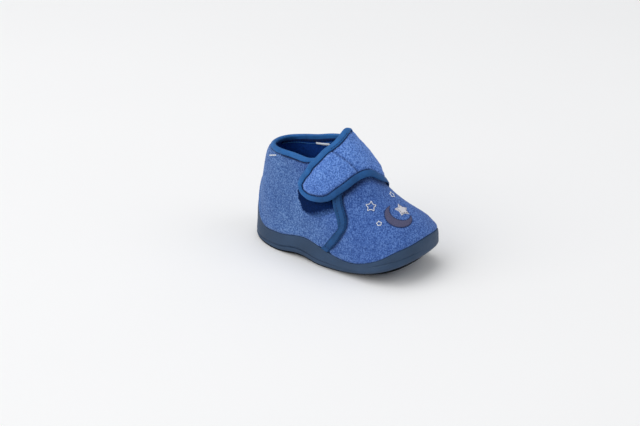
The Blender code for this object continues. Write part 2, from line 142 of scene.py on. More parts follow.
# Rounding of the sole's lower edge, from the heel's back (0) to the toe (1)
Edge = namedtuple("Edge", "way inset height")
EDGES = (
    Edge(0.00, 4.2 * MM, 5.4 * MM),
    Edge(0.10, 3.0 * MM, 4.6 * MM),
    Edge(0.20, 2.7 * MM, 3.8 * MM),
    Edge(0.42, 6.4 * MM, 5.0 * MM),
    Edge(0.58, 6.2 * MM, 5.0 * MM),
    Edge(0.76, 4.0 * MM, 5.0 * MM),
    Edge(1.00, 3.6 * MM, 5.0 * MM),
)
ARCH_RISE = 2.3 * MM
ARCH_START = -38.0 * MM
ARCH_END = 5.5 * MM

# Grooves between the lugs under the heel and under the forefoot
GrooveRun = namedtuple("GrooveRun", "first_x count")
GROOVE_RUNS = (GrooveRun(-60.0 * MM, 3), GrooveRun(6.0 * MM, 5))
GROOVE_SPACING = 9.0 * MM
GROOVE_WIDTH = 3.0 * MM
GROOVE_DEPTH = 1.5 * MM
GROOVE_EDGE = 1.4 * MM
GROOVE_OFF_RIM = 8.0 * MM
GROOVE_END = 3.0 * MM

# Outlines of the pieces that lie on the upper, as places on the last along their two edges
Band = namedtuple("Band", "way low_round low_level high_round high_level")
STRAP = (
    Band(0.00, 0.212, 0.615, 0.212, 0.615),
    Band(0.03, 0.210, 0.580, 0.214, 0.648),
    Band(0.08, 0.220, 0.550, 0.234, 0.740),
    Band(0.15, 0.247, 0.554, 0.259, 0.822),
    Band(0.25, 0.290, 0.594, 0.302, 0.942),
    Band(0.36, 0.350, 0.688, 0.369, 1.018),
    Band(0.47, 0.420, 0.760, 0.438, 1.032),
    Band(0.56, 0.480, 0.760, 0.522, 1.060),
    Band(0.63, 0.528, 0.706, 0.568, 1.032),
    Band(0.71, 0.596, 0.650, 0.628, 0.970),
    Band(0.80, 0.662, 0.566, 0.699, 0.880),
    Band(0.90, 0.732, 0.418, 0.781, 0.620),
    Band(1.00, 0.760, 0.232, 0.845, 0.276),
)
QUARTER_TAPE = (
    Band(0.00, 0.304, 0.645, 0.336, 0.676),
    Band(0.15, 0.292, 0.590, 0.325, 0.618),
    Band(0.30, 0.281, 0.538, 0.313, 0.556),
    Band(0.45, 0.270, 0.478, 0.299, 0.496),
    Band(0.55, 0.261, 0.434, 0.282, 0.448),
    Band(0.65, 0.244, 0.376, 0.263, 0.392),
    Band(0.80, 0.229, 0.300, 0.247, 0.314),
    Band(0.92, 0.221, 0.240, 0.236, 0.240),
    Band(1.00, 0.214, 0.185, 0.229, 0.175),
)
LOOP_PATCH = (
    Band(0.00, 0.190, 0.452, 0.192, 0.505),
    Band(0.15, 0.197, 0.437, 0.198, 0.570),
    Band(0.45, 0.215, 0.450, 0.216, 0.640),
    Band(0.75, 0.243, 0.497, 0.247, 0.680),
    Band(1.00, 0.274, 0.548, 0.284, 0.655),
)
STRAP_OFF_QUARTER = 2.3 * MM
STRAP_OFF_INSTEP = 0.9 * MM
STRAP_SETTLES = (0.28, 0.45)

# Soft dents in the fleece, each along a straight course on the last
Crease = namedtuple("Crease", "start_round start_level end_round end_level depth width")
CREASES = (
    Crease(0.085, 0.62, 0.185, 0.24, 0.9 * MM, 7.0 * MM),
    Crease(0.150, 0.80, 0.205, 0.66, 0.5 * MM, 5.0 * MM),
    Crease(0.335, 0.60, 0.330, 0.42, 0.6 * MM, 4.0 * MM),
    Crease(0.860, 0.70, 0.830, 0.30, 0.8 * MM, 7.0 * MM),
    Crease(0.440, 0.66, 0.560, 0.66, 0.5 * MM, 4.0 * MM),
)


def measure(name, description, default):
    """A length that a user can change."""
    return FloatProperty(name=name, description=description, default=default, unit="LENGTH")


class SlipperSizes(bpy.types.PropertyGroup):
    """Sizes of the cloth, the tape and the thread."""

    nap_height: measure("Nap height", "How far the fleece's tufts stand up", 0.26 * MM)
    nap_size: measure("Nap size", "Width of one tuft of the fleece", 1.15 * MM)
    tape_width: measure("Tape width", "Width of the collar's tape that shows on one face", 3.8 * MM)
    tape_thickness: measure("Tape thickness", "Thickness of one layer of the folded tape", 0.7 * MM)
    thread_width: measure("Thread width", "Thickness of the sewing thread", 0.55 * MM)
    stitch_pitch: measure("Stitch pitch", "Distance from one stitch to the next", 2.1 * MM)
    moon_radius: measure("Moon radius", "Outer radius of the felt crescent on the vamp", 10.5 * MM)


def colour(name, description, default):
    """A colour that a user can change."""
    return FloatVectorProperty(
        name=name, description=description, default=default, subtype="COLOR", size=3, min=0.0, max=1.0
    )


class SlipperColours(bpy.types.PropertyGroup):
    """Base colours of the finishes."""

    fleece: colour("Fleece", "Middle tone of the fleece", (0.095, 0.212, 0.580))
    fleece_dark: colour("Fleece shade", "Tone between the tufts", (0.045, 0.112, 0.368))
    fleece_light: colour("Fleece tips", "Tone of the tufts' tips", (0.190, 0.346, 0.758))
    # Painted light: the quarters keep more of each colour, a painted sheen haze, and the vamp less, painted
    # shade
    fleece_painted_sheen: colour("Fleece haze", "How much of each colour the quarters keep", (0.80, 0.77, 0.70))
    fleece_painted_shade: colour("Fleece depth", "How much of each colour the vamp keeps", (0.63, 0.66, 0.72))
    tape: colour("Tape", "The folded tape", (0.013, 0.082, 0.240))
    rubber: colour("Rubber", "The moulded sole", (0.031, 0.063, 0.122))
    lining: colour("Lining", "The lining and the footbed", (0.007, 0.054, 0.290))
    loop: colour("Loop pile", "The loop patch", (0.0015, 0.014, 0.075))
    dark_thread: colour("Dark thread", "Seam thread", (0.005, 0.022, 0.100))
    white_thread: colour("White thread", "Embroidery thread", (0.82, 0.85, 0.90))
    felt: colour("Felt", "The felt crescent", (0.095, 0.095, 0.170))
    pale_felt: colour("Pale felt", "The felt star", (0.66, 0.65, 0.70))
    floor: colour("Floor", "The studio floor", (0.94, 0.935, 0.93))


# The last


def smooth(knots, values, at):
    """A smooth curve through values at knots, with each slope taken from the neighbouring knots."""
    knots = np.asarray(knots, float)
    values = np.asarray(values, float)
    slope = np.gradient(values, knots)
    first = np.clip(np.searchsorted(knots, at, side="right") - 1, 0, len(knots) - 2)
    span = knots[first + 1] - knots[first]
    share = (at - knots[first]) / span
    rest = 1 - share
    start = rest**2 * ((1 + 2 * share) * values[first] + share * span * slope[first])
    end = share**2 * ((1 + 2 * rest) * values[first + 1] - rest * span * slope[first + 1])
    return start + end


def table(rows, key, column, at):
    """A column of a table as a smooth curve along its key column."""
    return smooth([getattr(row, key) for row in rows], [getattr(row, column) for row in rows], at)


def ease(share):
    """A share from 0 to 1 that starts and stops gently."""
    share = np.clip(share, 0, 1)
    return share**2 * (3 - 2 * share)


def rise(value, start, end):
    """From 0 where a value is at the start to 1 where it is at the end, starting and stopping gently."""
    return ease((value - start) / (end - start))


def bell(away, width):
    """A smooth hump: 1 where away is 0, falling off over a width."""
    return np.exp(-((away / width) ** 2))


def toe_lift(x):
    """How far the toe spring lifts the slipper at x."""
    reach = np.clip((x - TOE_SPRING_START) / (LENGTH / 2 - TOE_SPRING_START), 0, None)
    return TOE_SPRING * reach**2


def underside(x):
    """Height of the sole's underside at x: flat heel and forefoot, with the arch between them."""
    arch = np.clip((x - ARCH_START) / (ARCH_END - ARCH_START), 0, 1)
    return toe_lift(x) + ARCH_RISE * np.sin(np.pi * arch) ** 2


def last(around, level):
    """Points on the last."""
    around, level = np.broadcast_arrays(np.asarray(around, float), np.asarray(level, float))
    heel_x, heel_z, front_x, front_z, half_width, climb, shift, front_fullness = (
        table(CONTOURS, "level", name, level) for name in Contour._fields[1:]
    )
    heel_x, front_x = heel_x * LENGTH / 2, front_x * LENGTH / 2
    heel_z, front_z = heel_z * HEEL_HEIGHT, front_z * INSTEP_HEIGHT
    half_width = half_width * BALL_WIDTH / 2
    heel_fullness = HEEL_FULLNESS * (1 - HEEL_FULLNESS_LOST * level)
    cosine = np.cos(2 * np.pi * around)
    sine = np.sin(2 * np.pi * around)
    way = (1 - cosine - shift * sine**2) / 2
    x = heel_x + (front_x - heel_x) * way
    outer = (1 + sine) / 2
    fullness = heel_fullness + (front_fullness - heel_fullness) * way
    waist = INNER_WAIST + (OUTER_WAIST - INNER_WAIST) * outer
    narrowing = 1 - waist * bell(way - WAIST_AT, WAIST_SPREAD)
    swing = TOE_SWING * np.clip(x / LENGTH + 0.5, 0, None) ** SWING_POWER
    y = swing - half_width * narrowing * sine * (1 + fullness * cosine**2)
    climb = climb * (INNER_CLIMB + (1 - INNER_CLIMB) * outer)
    dip = COLLAR_DIP * outer**2 * level**DIP_POWER * bell(way - DIP_AT, DIP_SPREAD)
    z = toe_lift(x) + heel_z + (front_z - heel_z) * np.clip(way, 0, None) ** climb - dip
    return np.stack([x, y, z], axis=-1)


def slopes(around, level):
    """How the last's points move with round and with level."""
    step = SLOPE_STEP
    by_round = (last(around + step, level) - last(around - step, level)) / (2 * step)
    by_level = (last(around, level + step) - last(around, level - step)) / (2 * step)
    return by_round, by_level


def unit(vectors):
    """Vectors made one long."""
    return vectors / np.linalg.norm(vectors, axis=-1, keepdims=True)


def outward_of(around, level):
    """The direction straight out of the last."""
    by_round, by_level = slopes(around, level)
    return unit(np.cross(by_round, by_level))


def skin(around, level, out=0.0):
    """Points at a distance off the last, outwards."""
    return last(around, level) + outward_of(around, level) * np.asarray(out)[..., None]


def along_surface(around, level, moves):
    """The places reached from places on the last by small moves along it."""
    by_round, by_level = slopes(around, level)
    round_round = (by_round * by_round).sum(-1)
    round_level = (by_round * by_level).sum(-1)
    level_level = (by_level * by_level).sum(-1)
    round_move = (by_round * moves).sum(-1)
    level_move = (by_level * moves).sum(-1)
    spread = round_round * level_level - round_level**2
    round_step = (round_move * level_level - level_move * round_level) / spread
    level_step = (level_move * round_round - round_move * round_level) / spread
    return around + round_step, level + level_step


def walk(around, level, steps, closed=False):
    """The places a step away from a path on the last, square to it and to the left of its course."""
    points = last(around, level)
    if closed:
        course = np.gradient(np.concatenate([points[-2:-1], points, points[1:2]]), axis=0)[1:-1]
    else:
        course = np.gradient(points, axis=0)
    aside = unit(np.cross(outward_of(around, level), course))
    return along_surface(around, level, aside * np.asarray(steps)[..., None])


def level_at(around, height, out=0.0):
    """The level at which the last, or a skin off it, stands a height above the slipper's underside."""
    levels = np.linspace(0, 1, LEVEL_STEPS)
    places, grid = np.meshgrid(around, levels, indexing="ij")
    points = skin(places, grid, out)
    heights = points[..., 2] - toe_lift(points[..., 0])
    wanted = np.broadcast_to(height, around.shape)
    return np.array([np.interp(one, column, levels) for one, column in zip(wanted, heights)])


def ring(count):
    """One place for each column round the last, the first repeated at the end."""
    return np.linspace(0, 1, count + 1)


def heel_to_toe(around):
    """How far places lie from the heel's back (0) to the toe (1), on either side."""
    return 1 - np.abs(1 - 2 * around)


def wall_height(around):
    """Height of the sole's lip above its underside."""
    return table(WALL_TOPS, "way", "height", heel_to_toe(around))


def wall_top(around):
    """The level of the sole's lip."""
    return level_at(around, wall_height(around))


def outline(around):
    """The last's widest contour, seen from above, and the direction outwards from it."""
    level = np.full_like(around, WIDEST_LEVEL)
    by_round, _ = slopes(around, level)
    outward = unit(np.stack([by_round[:, 1], -by_round[:, 0], np.zeros_like(around)], axis=-1))
    return last(around, level), outward


def sole_outside(around, lip, share):
    """The sole's outer face at a share of the way up from the upper's bottom edge to the lip's level."""
    level = lip * share
    points = last(around, level)
    widest, outward = outline(around)
    inset = np.clip(((widest - points) * outward).sum(-1), 0, None)
    fill = np.where(level < WIDEST_LEVEL, inset * (1 - SOLE_FILL_LOST * share), 0.0)
    thickness = GAP + SOLE_LIP + fill + SOLE_FLANGE * (1 - share)
    return points + outward * thickness[:, None]


def sole_middle():
    """The middle of the CAD sole's outline, which the slipper is centred on."""
    around = ring(CAD_COLUMNS)
    lip = wall_top(around)
    rows = np.concatenate([sole_outside(around, lip, share) for share in CAD_WALL_SHARES])
    middle = (rows.min(0) + rows.max(0)) / 2
    return np.array([middle[0], middle[1], 0.0])


CENTRE = sole_middle()


# Meshes


def sheet(shape, rows, shade=None):
    """Adds a grid of faces through rows of points, with a flat UV map and painted shade for each point if
    given.
    """
    rows = np.asarray(rows) - CENTRE
    down, along = rows.shape[0] - 1, rows.shape[1] - 1
    if not shape.loops.layers.uv:
        shape.loops.layers.uv.new("flat")
    # The shade layer holds painted shade, which the fleece's finish turns into darker colour
    layer = None if shade is None else shape.verts.layers.float.new("shade")
    made = bmesh.ops.create_grid(shape, x_segments=along, y_segments=down, size=1.0, calc_uvs=True)["verts"]
    for vert in made:
        column = round((vert.co.x + 1) / 2 * along)
        row = round((vert.co.y + 1) / 2 * down)
        vert.co = rows[row, column]
        if layer:
            vert[layer] = shade[row, column]


def cap(shape, loop):
    """Adds one face across a closed loop of points."""
    made = bmesh.ops.create_circle(shape, cap_ends=True, segments=len(loop), radius=1.0)["verts"]
    for vert, point in zip(made, np.asarray(loop) - CENTRE):
        vert.co = point


def slab(outside, inside, shade=None, closed=False):
    """A slab between two skins given as rows of points, with painted shade for its outside if given.

    One that runs closed round the last needs no ends.
    """
    shape = bmesh.new()
    if shade is not None:
        shade = np.concatenate([shade, np.zeros(inside.shape[:-1]), shade[:1]])
    sheet(shape, np.concatenate([outside, inside[::-1], outside[:1]]), shade)
    if not closed:
        for end in (0, -1):
            sheet(shape, [outside[:, end], inside[:, end]])
    return shape


def inside_rim(rim, x, y):
    """How far places lie inside a rim of points, measured straight across it."""
    half = (len(rim) - 1) // 2
    outer, inner = rim[: half + 1], rim[::-1][: half + 1]
    return np.minimum(y - np.interp(x, outer[:, 0], outer[:, 1]), np.interp(x, inner[:, 0], inner[:, 1]) - y)


def disc(shape, rim, across, height):
    """Adds a grid of faces that fills a rim of points, with each inner point at height(x, y)."""
    count = len(rim) - 1
    heel = across // 2
    toe = count // 2 - heel
    outer = rim[heel : toe + 1]
    inner = rim[count - toe : count - heel + 1][::-1]
    back = np.concatenate([rim[count - heel : count], rim[: heel + 1]])[::-1]
    front = rim[toe : count - toe + 1]
    along = np.linspace(0, 1, len(outer))[None, :, None]
    side = np.linspace(0, 1, len(back))[:, None, None]
    rows = (1 - side) * outer[None] + side * inner[None]
    rows += (1 - along) * back[:, None] + along * front[:, None]
    rows -= (1 - side) * ((1 - along) * outer[0] + along * outer[-1])
    rows -= side * ((1 - along) * inner[0] + along * inner[-1])
    grid = rows[1:-1, 1:-1]
    middle = rows[len(back) // 2, 1:-1, 0]
    grid[..., 0] += (middle - grid[..., 0]) * ease(inside_rim(rim, middle, grid[..., 1]) / STRAIGHT_WITHIN)
    grid[..., 2] = height(grid[..., 0], grid[..., 1])
    sheet(shape, rows)


def tufts(points, size):
    """Noise from about -1 to 1 at points, with tufts of a size."""
    flat = points.reshape(-1, 3) / size
    return np.array([noise.noise(Vector(point)) for point in flat]).reshape(points.shape[:-1])


def nap(points, sizes):
    """How far the fleece's tufts stand up at points."""
    return sizes.nap_height * (0.7 * tufts(points, sizes.nap_size) + 0.3 * tufts(points, sizes.nap_size / 2))


def piece(name, shape, finish, node=None):
    """Closes a shape's seams and makes it a piece of the slipper, in place of a CAD node if one is named."""
    bmesh.ops.remove_doubles(shape, verts=shape.verts[:], dist=WELD)
    bmesh.ops.dissolve_degenerate(shape, edges=shape.edges[:], dist=WELD)
    bmesh.ops.recalc_face_normals(shape, faces=shape.faces[:])
    mesh = bpy.data.meshes.new(name)
    shape.to_mesh(mesh)
    shape.free()
    mesh.shade_smooth()
    mesh.materials.append(finish)
    made = bpy.data.objects.new(name, mesh)
    bpy.context.scene.collection.objects.link(made)
    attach(made, "root")
    if node:
        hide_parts(node)
    return made


# Finishes

WHITE = (1.0, 1.0, 1.0)
BLACK = (0.0, 0.0, 0.0)
# Colour that painted shade multiplies into the fleece, as far as its shade attribute says
FOLD_PAINTED_SHADE = (0.12, 0.14, 0.20)
FLEECE_SHEEN = (0.62, 0.74, 1.0, 1.0)
TAPE_SHEEN = (0.55, 0.78, 1.0, 1.0)
RIB_PITCH = 0.9 * MM
PAINTED_SHADE_RUN = 0.08
# Painted contact shade on the sole's foot, by share of the flat map's height
FOOT_PAINTED_SHADE_TO = 0.075
FOOT_UNSHADED_FROM = 0.090
PATCH_FADE = 0.060


def tone(value, gain):
    """A colour made lighter or darker."""
    return tuple(min(1.0, channel * gain) for channel in value)


class Nodes:
    """A material's node tree, with short calls to add and link nodes."""

    def __init__(self, name):
        self.material = bpy.data.materials.new(name)
        self.material.use_nodes = True
        self.tree = self.material.node_tree
        self.shader = self.tree.nodes["Principled BSDF"]
        self.place = self.add("ShaderNodeTexCoord")

    def flat(self):
        """The two directions of the piece's own flat map."""
        made = self.add("ShaderNodeSeparateXYZ")
        self.link(self.place.outputs["UV"], made.inputs["Vector"])
        return made.outputs["X"], made.outputs["Y"]

    def add(self, kind, **values):
        """A new node, with values for its own settings and its sockets."""
        made = self.tree.nodes.new(kind)
        for key, value in values.items():
            if hasattr(made, key):
                setattr(made, key, value)
            else:
                made.inputs[key.replace("_", " ")].default_value = value
        return made

    def link(self, source, target):
        self.tree.links.new(source, target)

    def set(self, **values):
        """Sets the shader's own sockets."""
        for key, value in values.items():
            self.shader.inputs[key.replace("_", " ")].default_value = value

    def noise(self, size, detail=2.0, roughness=0.5, source=None):
        """Noise with grains of a size in metres."""
        made = self.add("ShaderNodeTexNoise", Scale=1.0 / size, Detail=detail, Roughness=roughness)
        self.link(source or self.place.outputs["Object"], made.inputs["Vector"])
        return made.outputs["Fac"]

    def ramp(self, fac, *stops):
        """A colour ramp from stops of (place, colour)."""
        made = self.add("ShaderNodeValToRGB")
        made.color_ramp.elements.remove(made.color_ramp.elements[1])
        made.color_ramp.elements[0].position = stops[0][0]
        made.color_ramp.elements[0].color = (*stops[0][1], 1.0)
        for position, shade in stops[1:]:
            made.color_ramp.elements.new(position).color = (*shade, 1.0)
        self.link(fac, made.inputs["Fac"])
        return made.outputs["Color"]

    def tones(self, fac, value, *stops):
        """A ramp of one colour made lighter and darker, from stops of (place, gain)."""
        return self.ramp(fac, *((place, tone(value, gain)) for place, gain in stops))

    def mix(self, fac, first, second, blend="MIX"):
        """Two colours mixed."""
        made = self.add("ShaderNodeMix", data_type="RGBA", blend_type=blend)
        if isinstance(fac, float):
            made.inputs["Factor"].default_value = fac
        else:
            self.link(fac, made.inputs["Factor"])
        for socket, value in ((made.inputs[6], first), (made.inputs[7], second)):
            if isinstance(value, tuple):
                socket.default_value = (*value, 1.0)
            else:
                self.link(value, socket)
        return made.outputs[2]

    def paint(self, base):
        """Makes a colour the shader's base colour."""
        self.link(base, self.shader.inputs["Base Color"])

    def relief(self, *layers):
        """Bumps laid one on another, each as (pattern, real height in metres, strength)."""
        under = None
        for pattern, height, strength in layers:
            made = self.add("ShaderNodeBump", Strength=strength, Distance=height)
            self.link(pattern, made.inputs["Height"])
            if under:
                self.link(under, made.inputs["Normal"])
            under = made.outputs["Normal"]
        self.link(under, self.shader.inputs["Normal"])


def fleece_finish(name, colours, gain, contrast, painted_sides):
    """Short brushed pile, dark between tufts, pale at tips; if asked, painted sheen on the quarters and shade
    on the vamp.
    """
    made = Nodes(name)
    middle = tone(colours.fleece, gain)
    dark, light = (
        tuple(m + (t - m) * contrast for m, t in zip(middle, tone(each, gain)))
        for each in (colours.fleece_dark, colours.fleece_light)
    )
    pile = made.noise(1.05 * MM, 2.5, 0.60)
    base = made.ramp(pile, (0.38, dark), (0.50, middle), (0.63, light))
    brushed = made.noise(16.0 * MM, 2.0, 0.5)
    patches = made.ramp(brushed, (0.35, (0.86, 0.88, 0.92)), (0.65, (1.10, 1.08, 1.05)))
    base = made.mix(1.0, base, patches, "MULTIPLY")
    if painted_sides:
        # Painted light round the upper: paler, hazier quarters for painted sheen, a darker vamp for painted
        # shade
        around, _ = made.flat()
        haze, deep = tuple(colours.fleece_painted_sheen), tuple(colours.fleece_painted_shade)
        quarters = made.ramp(around, (0.0, haze), (0.18, haze), (0.29, deep), (0.66, deep), (0.76, haze))
        base = made.mix(1.0, base, quarters, "MULTIPLY")
    # Painted shade from the shade attribute: dents under the strap's edge, beside the quarter's tape, the
    # strap's seam
    fold = made.add("ShaderNodeAttribute", attribute_name="shade")
    made.paint(made.mix(fold.outputs["Fac"], base, made.mix(1.0, base, FOLD_PAINTED_SHADE, "MULTIPLY")))
    fibres = made.noise(0.35 * MM, 2.0, 0.6)
    made.relief((pile, 0.5 * MM, 0.7), (fibres, 0.2 * MM, 0.6))
    made.set(Roughness=0.95, Specular_IOR_Level=0.12, Sheen_Weight=0.25, Sheen_Roughness=0.45)
    made.set(Sheen_Tint=FLEECE_SHEEN)
    return made.material


def tape_finish(name, colours, run, gain, painted_shade_until=None):
    """Smooth woven tape with fine ribs across it along its own flat map, painted shade before a share of its
    length, paler past it.
    """
    made = Nodes(name)
    flat = made.add("ShaderNodeMapping", Scale=(run, 1.0, 1.0))
    made.link(made.place.outputs["UV"], flat.inputs["Vector"])
    ribs = made.add("ShaderNodeTexWave", wave_type="BANDS", bands_direction="X", Distortion=0.6)
    ribs.inputs["Scale"].default_value = 0.5 / RIB_PITCH
    made.link(flat.outputs["Vector"], ribs.inputs["Vector"])
    worn = made.noise(7.0 * MM, 3.0, 0.55)
    base = made.tones(worn, colours.tape, (0.30, gain * 0.82), (0.55, gain), (0.75, gain * 1.22))
    ribbed = made.ramp(ribs.outputs["Fac"], (0.0, (0.86, 0.88, 0.90)), (1.0, (1.06, 1.05, 1.04)))
    base = made.mix(1.0, base, ribbed, "MULTIPLY")
    # Painted shade on the tape's run before the share
    if painted_shade_until:
        along, _ = made.flat()
        pale = made.ramp(along, (painted_shade_until, (0.62, 0.64, 0.66)), (painted_shade_until + PAINTED_SHADE_RUN, WHITE))
        base = made.mix(1.0, base, pale, "MULTIPLY")
    made.paint(base)
    made.relief((ribs.outputs["Fac"], 0.12 * MM, 0.5), (made.noise(0.5 * MM, 2.0), 0.08 * MM, 0.5))
    made.set(Roughness=0.62, Specular_IOR_Level=0.22, Sheen_Weight=0.05, Sheen_Roughness=0.4)
    made.set(Sheen_Tint=TAPE_SHEEN)
    return made.material


def rubber_finish(name, colours):
    """Matt moulded rubber: a fine grain, faint flow marks, paler scuffs and painted contact shade on its
    foot.
    """
    made = Nodes(name)
    flow = made.noise(18.0 * MM, 3.0, 0.5)
    base = made.tones(flow, colours.rubber, (0.30, 0.86), (0.52, 1.0), (0.74, 1.16))
    scuff = made.noise(2.2 * MM, 5.0, 0.65)
    scuffed = made.ramp(scuff, (0.60, WHITE), (0.82, (1.30, 1.28, 1.24)))
    _, upwards = made.flat()
    # Painted shade: the lowest rows are darkened where the sole meets the floor, and kept fully rough there
    painted_contact_shade = made.tones(upwards, WHITE, (0.0, 0.03), (FOOT_PAINTED_SHADE_TO, 0.05), (FOOT_UNSHADED_FROM, 1.0))
    made.paint(made.mix(1.0, made.mix(1.0, base, scuffed, "MULTIPLY"), painted_contact_shade, "MULTIPLY"))
    rough = made.tones(scuff, WHITE, (0.35, 0.50), (0.75, 0.66))
    made.link(made.mix(painted_contact_shade, WHITE, rough), made.shader.inputs["Roughness"])
    made.relief((made.noise(0.5 * MM, 2.0), 0.06 * MM, 0.5), (flow, 0.3 * MM, 0.3))
    made.set(Specular_IOR_Level=0.25)
    return made.material


def cloth_finish(name, base_colour, grain, height, spread=0.25, sheen=0.03):
    """Brushed cloth or felt of one colour, mottled by its fibres."""
    made = Nodes(name)
    pile = made.noise(grain, 4.0, 0.65)
    made.paint(made.tones(pile, base_colour, (0.30, 1 - spread), (0.52, 1.0), (0.74, 1 + spread)))
    made.relief((pile, height, 0.8), (made.noise(grain / 4, 2.0), height / 3, 0.6))
    made.set(Roughness=0.95, Specular_IOR_Level=0.06, Sheen_Weight=sheen, Sheen_Roughness=0.5)
    return made.material


def loop_finish(name, colours):
    """Loop pile that thins out to fleece along the patch's edge, which its own flat map finds."""
    made = Nodes(name)
    along, across = made.flat()
    pile = made.noise(0.9 * MM, 4.0, 0.65)
    inner = made.tones(pile, colours.loop, (0.30, 0.5), (0.52, 1.0), (0.74, 1.6))
    # The fringe's tones carry the quarters' painted sheen
    shaded, plain = (
        tuple(part * share for part, share in zip(each, colours.fleece_painted_sheen))
        for each in (colours.fleece_dark, colours.fleece)
    )
    outer = made.ramp(pile, (0.35, shaded), (0.65, plain))
    low, end = (made.ramp(way, (0.0, WHITE), (PATCH_FADE, BLACK)) for way in (across, along))
    edge = made.mix(1.0, low, end, "LIGHTEN")
    ragged = made.mix(0.75, edge, made.ramp(pile, (0.35, BLACK), (0.65, WHITE)), "OVERLAY")
    made.paint(made.mix(ragged, inner, outer))
    made.relief((pile, 0.4 * MM, 0.8), (made.noise(0.25 * MM, 2.0), 0.15 * MM, 0.6))
    made.set(Roughness=0.95, Specular_IOR_Level=0.06, Sheen_Weight=0.03, Sheen_Roughness=0.5)
    return made.material


def thread_finish(name, base_colour):
    """Twisted thread."""
    made = Nodes(name)
    twist = made.noise(0.30 * MM, 2.0)
    made.paint(made.tones(twist, base_colour, (0.35, 0.75), (0.65, 1.1)))
    made.relief((twist, 0.1 * MM, 0.6))
    made.set(Roughness=0.6, Specular_IOR_Level=0.3)
    return made.material


# Shapes


CREASE_POINTS = 25
CREASE_ENDS = (0.02, 0.98)
CREASE_POWER = 0.7


def creased(points):
    """How far the soft dents sink the fleece at points."""
    sunk = np.zeros(points.shape[:-1])
    share = np.linspace(0, 1, CREASE_POINTS)
    for crease in CREASES:
        course = last(
            crease.start_round + (crease.end_round - crease.start_round) * share,
            crease.start_level + (crease.end_level - crease.start_level) * share,
        )
        deep = crease.depth * np.sin(np.pi * np.clip(share, *CREASE_ENDS)) ** CREASE_POWER
        away = np.linalg.norm(points[..., None, :] - course, axis=-1)
        sunk += (deep * bell(away, crease.width)).max(-1)
    return sunk


def nearest(points, course):
    """How far points lie from a course, and the number of the course's point that is nearest."""
    far = np.empty(points.shape[:-1])
    index = np.empty(points.shape[:-1], int)
    for row, line in enumerate(points):
        away = np.linalg.norm(line[:, None] - course, axis=-1)
        index[row] = away.argmin(-1)
        far[row] = away.min(-1)
    return far, index


def band_places(rows, way, share):
    """Places on a band at shares from its low edge to its high edge, one row for each way along it."""
    low_round, low_level, high_round, high_level = (
        table(rows, "way", name, way)[:, None] for name in Band._fields[1:]
    )
    return low_round + (high_round - low_round) * share, low_level + (high_level - low_level) * share


def band_line(rows, way, share):
    """Points on the last along a band, at one share from its low edge to its high edge."""
    around, level = band_places(rows, way, share)
    return last(around[:, 0], level[:, 0])


TUCK_DEPTH = 1.6 * MM
TUCK_WIDTH = 2.6 * MM
TUCK_WAYS = np.linspace(0.12, 0.74, 130)
TUCK_EASES = (0.40, 0.60)
TUCK_LOST = 0.6
# Painted shade in the tuck under the strap's front edge, and how wide it spreads
TUCK_PAINTED_SHADE = 0.9
TUCK_PAINTED_SHADE_WIDTH = 3.4 * MM
TAPE_DIP = 0.8 * MM
TAPE_DIP_WIDTH = 1.3 * MM
TAPE_DIP_WAYS = np.linspace(0, 0.93, 90)
# Painted shade beside the quarter's tape
TAPE_DIP_PAINTED_SHADE = 0.6
TAPE_CLEAR_WAYS = np.linspace(0, 1, 90)
TAPE_CLEAR = (2.5 * MM, 6.5 * MM)


def tucked(points):
    """How far the fleece sinks by the strap's front edge and the quarter's tape, and how much painted shade
    it gets.
    """
    away, index = nearest(points, band_line(STRAP, TUCK_WAYS, 0.0))
    share = 1 - TUCK_LOST * rise(TUCK_WAYS[index], *TUCK_EASES)
    sunk = TUCK_DEPTH * share * bell(away, TUCK_WIDTH)
    shade = TUCK_PAINTED_SHADE * share * bell(away, TUCK_PAINTED_SHADE_WIDTH)
    away, _ = nearest(points, band_line(QUARTER_TAPE, TAPE_DIP_WAYS, 1.0))
    beside = bell(away, TAPE_DIP_WIDTH)
    return sunk + TAPE_DIP * beside, np.maximum(shade, TAPE_DIP_PAINTED_SHADE * beside)


def clear_of_tape(points):
    """From 0 on the quarter's tape to 1 well away from it."""
    away, _ = nearest(points, band_line(QUARTER_TAPE, TAPE_CLEAR_WAYS, 0.5))
    return rise(away, *TAPE_CLEAR)


def lap_edge(level):
    """Where the outer quarter's front edge lies over the vamp, as round."""
    rows = QUARTER_TAPE[::-1]
    levels = [(row.low_level + row.high_level) / 2 for row in rows]
    rounds = [(row.low_round + row.high_round) / 2 for row in rows]
    return np.interp(level, levels, rounds)


LAP_HEIGHT = 0.8 * MM
LAP_RAMP = 0.012
LAP_ABOVE_LIP = 2.5 * MM
INNER_LAP = (0.66, 0.74)


def lapped(around, level, above_lip):
    """How far the quarter stands off the vamp that it laps over."""
    outer = ease((lap_edge(level) - around) / LAP_RAMP + 0.5)
    inner = rise(around, *INNER_LAP)
    return LAP_HEIGHT * np.maximum(outer, inner) * ease(above_lip / LAP_ABOVE_LIP)


def top_edge(around, depth):
    """The ring of places at a depth below the upper's top edge."""
    return walk(around, np.ones_like(around), -depth, closed=True)


UPPER_COLUMNS = 480
UPPER_ROWS = 112
UPPER_INSIDE_ROWS = 26
FLEECE_BACK = 2.2 * MM
UNDER_LIP = 4.0 * MM
LIP_ROLL = 1.25 * MM
LIP_ROLL_START = 0.9 * MM
LIP_ROLL_ENDS = (1.5 * MM, 8.5 * MM)
SWELL = 0.35 * MM
SWELL_SIZE = 22.0 * MM
SWELL_ABOVE_LIP = 6.0 * MM
DENTS_ABOVE_LIP = 5.0 * MM
UNDER_TAPE = 1.6 * MM
TAPE_SINK = 1.8 * MM
TAPE_SINK_START = 0.1 * MM
TAPE_SINK_RUN = 2.3 * MM


def upper_places(around, count):
    """Rows of places from just under the sole's lip to just under the collar's tape."""
    low = level_at(around, wall_height(around) - UNDER_LIP)
    top_round, top_level = top_edge(around, UNDER_TAPE)
    share = np.linspace(0, 1, count)[:, None]
    return around + (top_round - around) * share, low + (top_level - low) * share


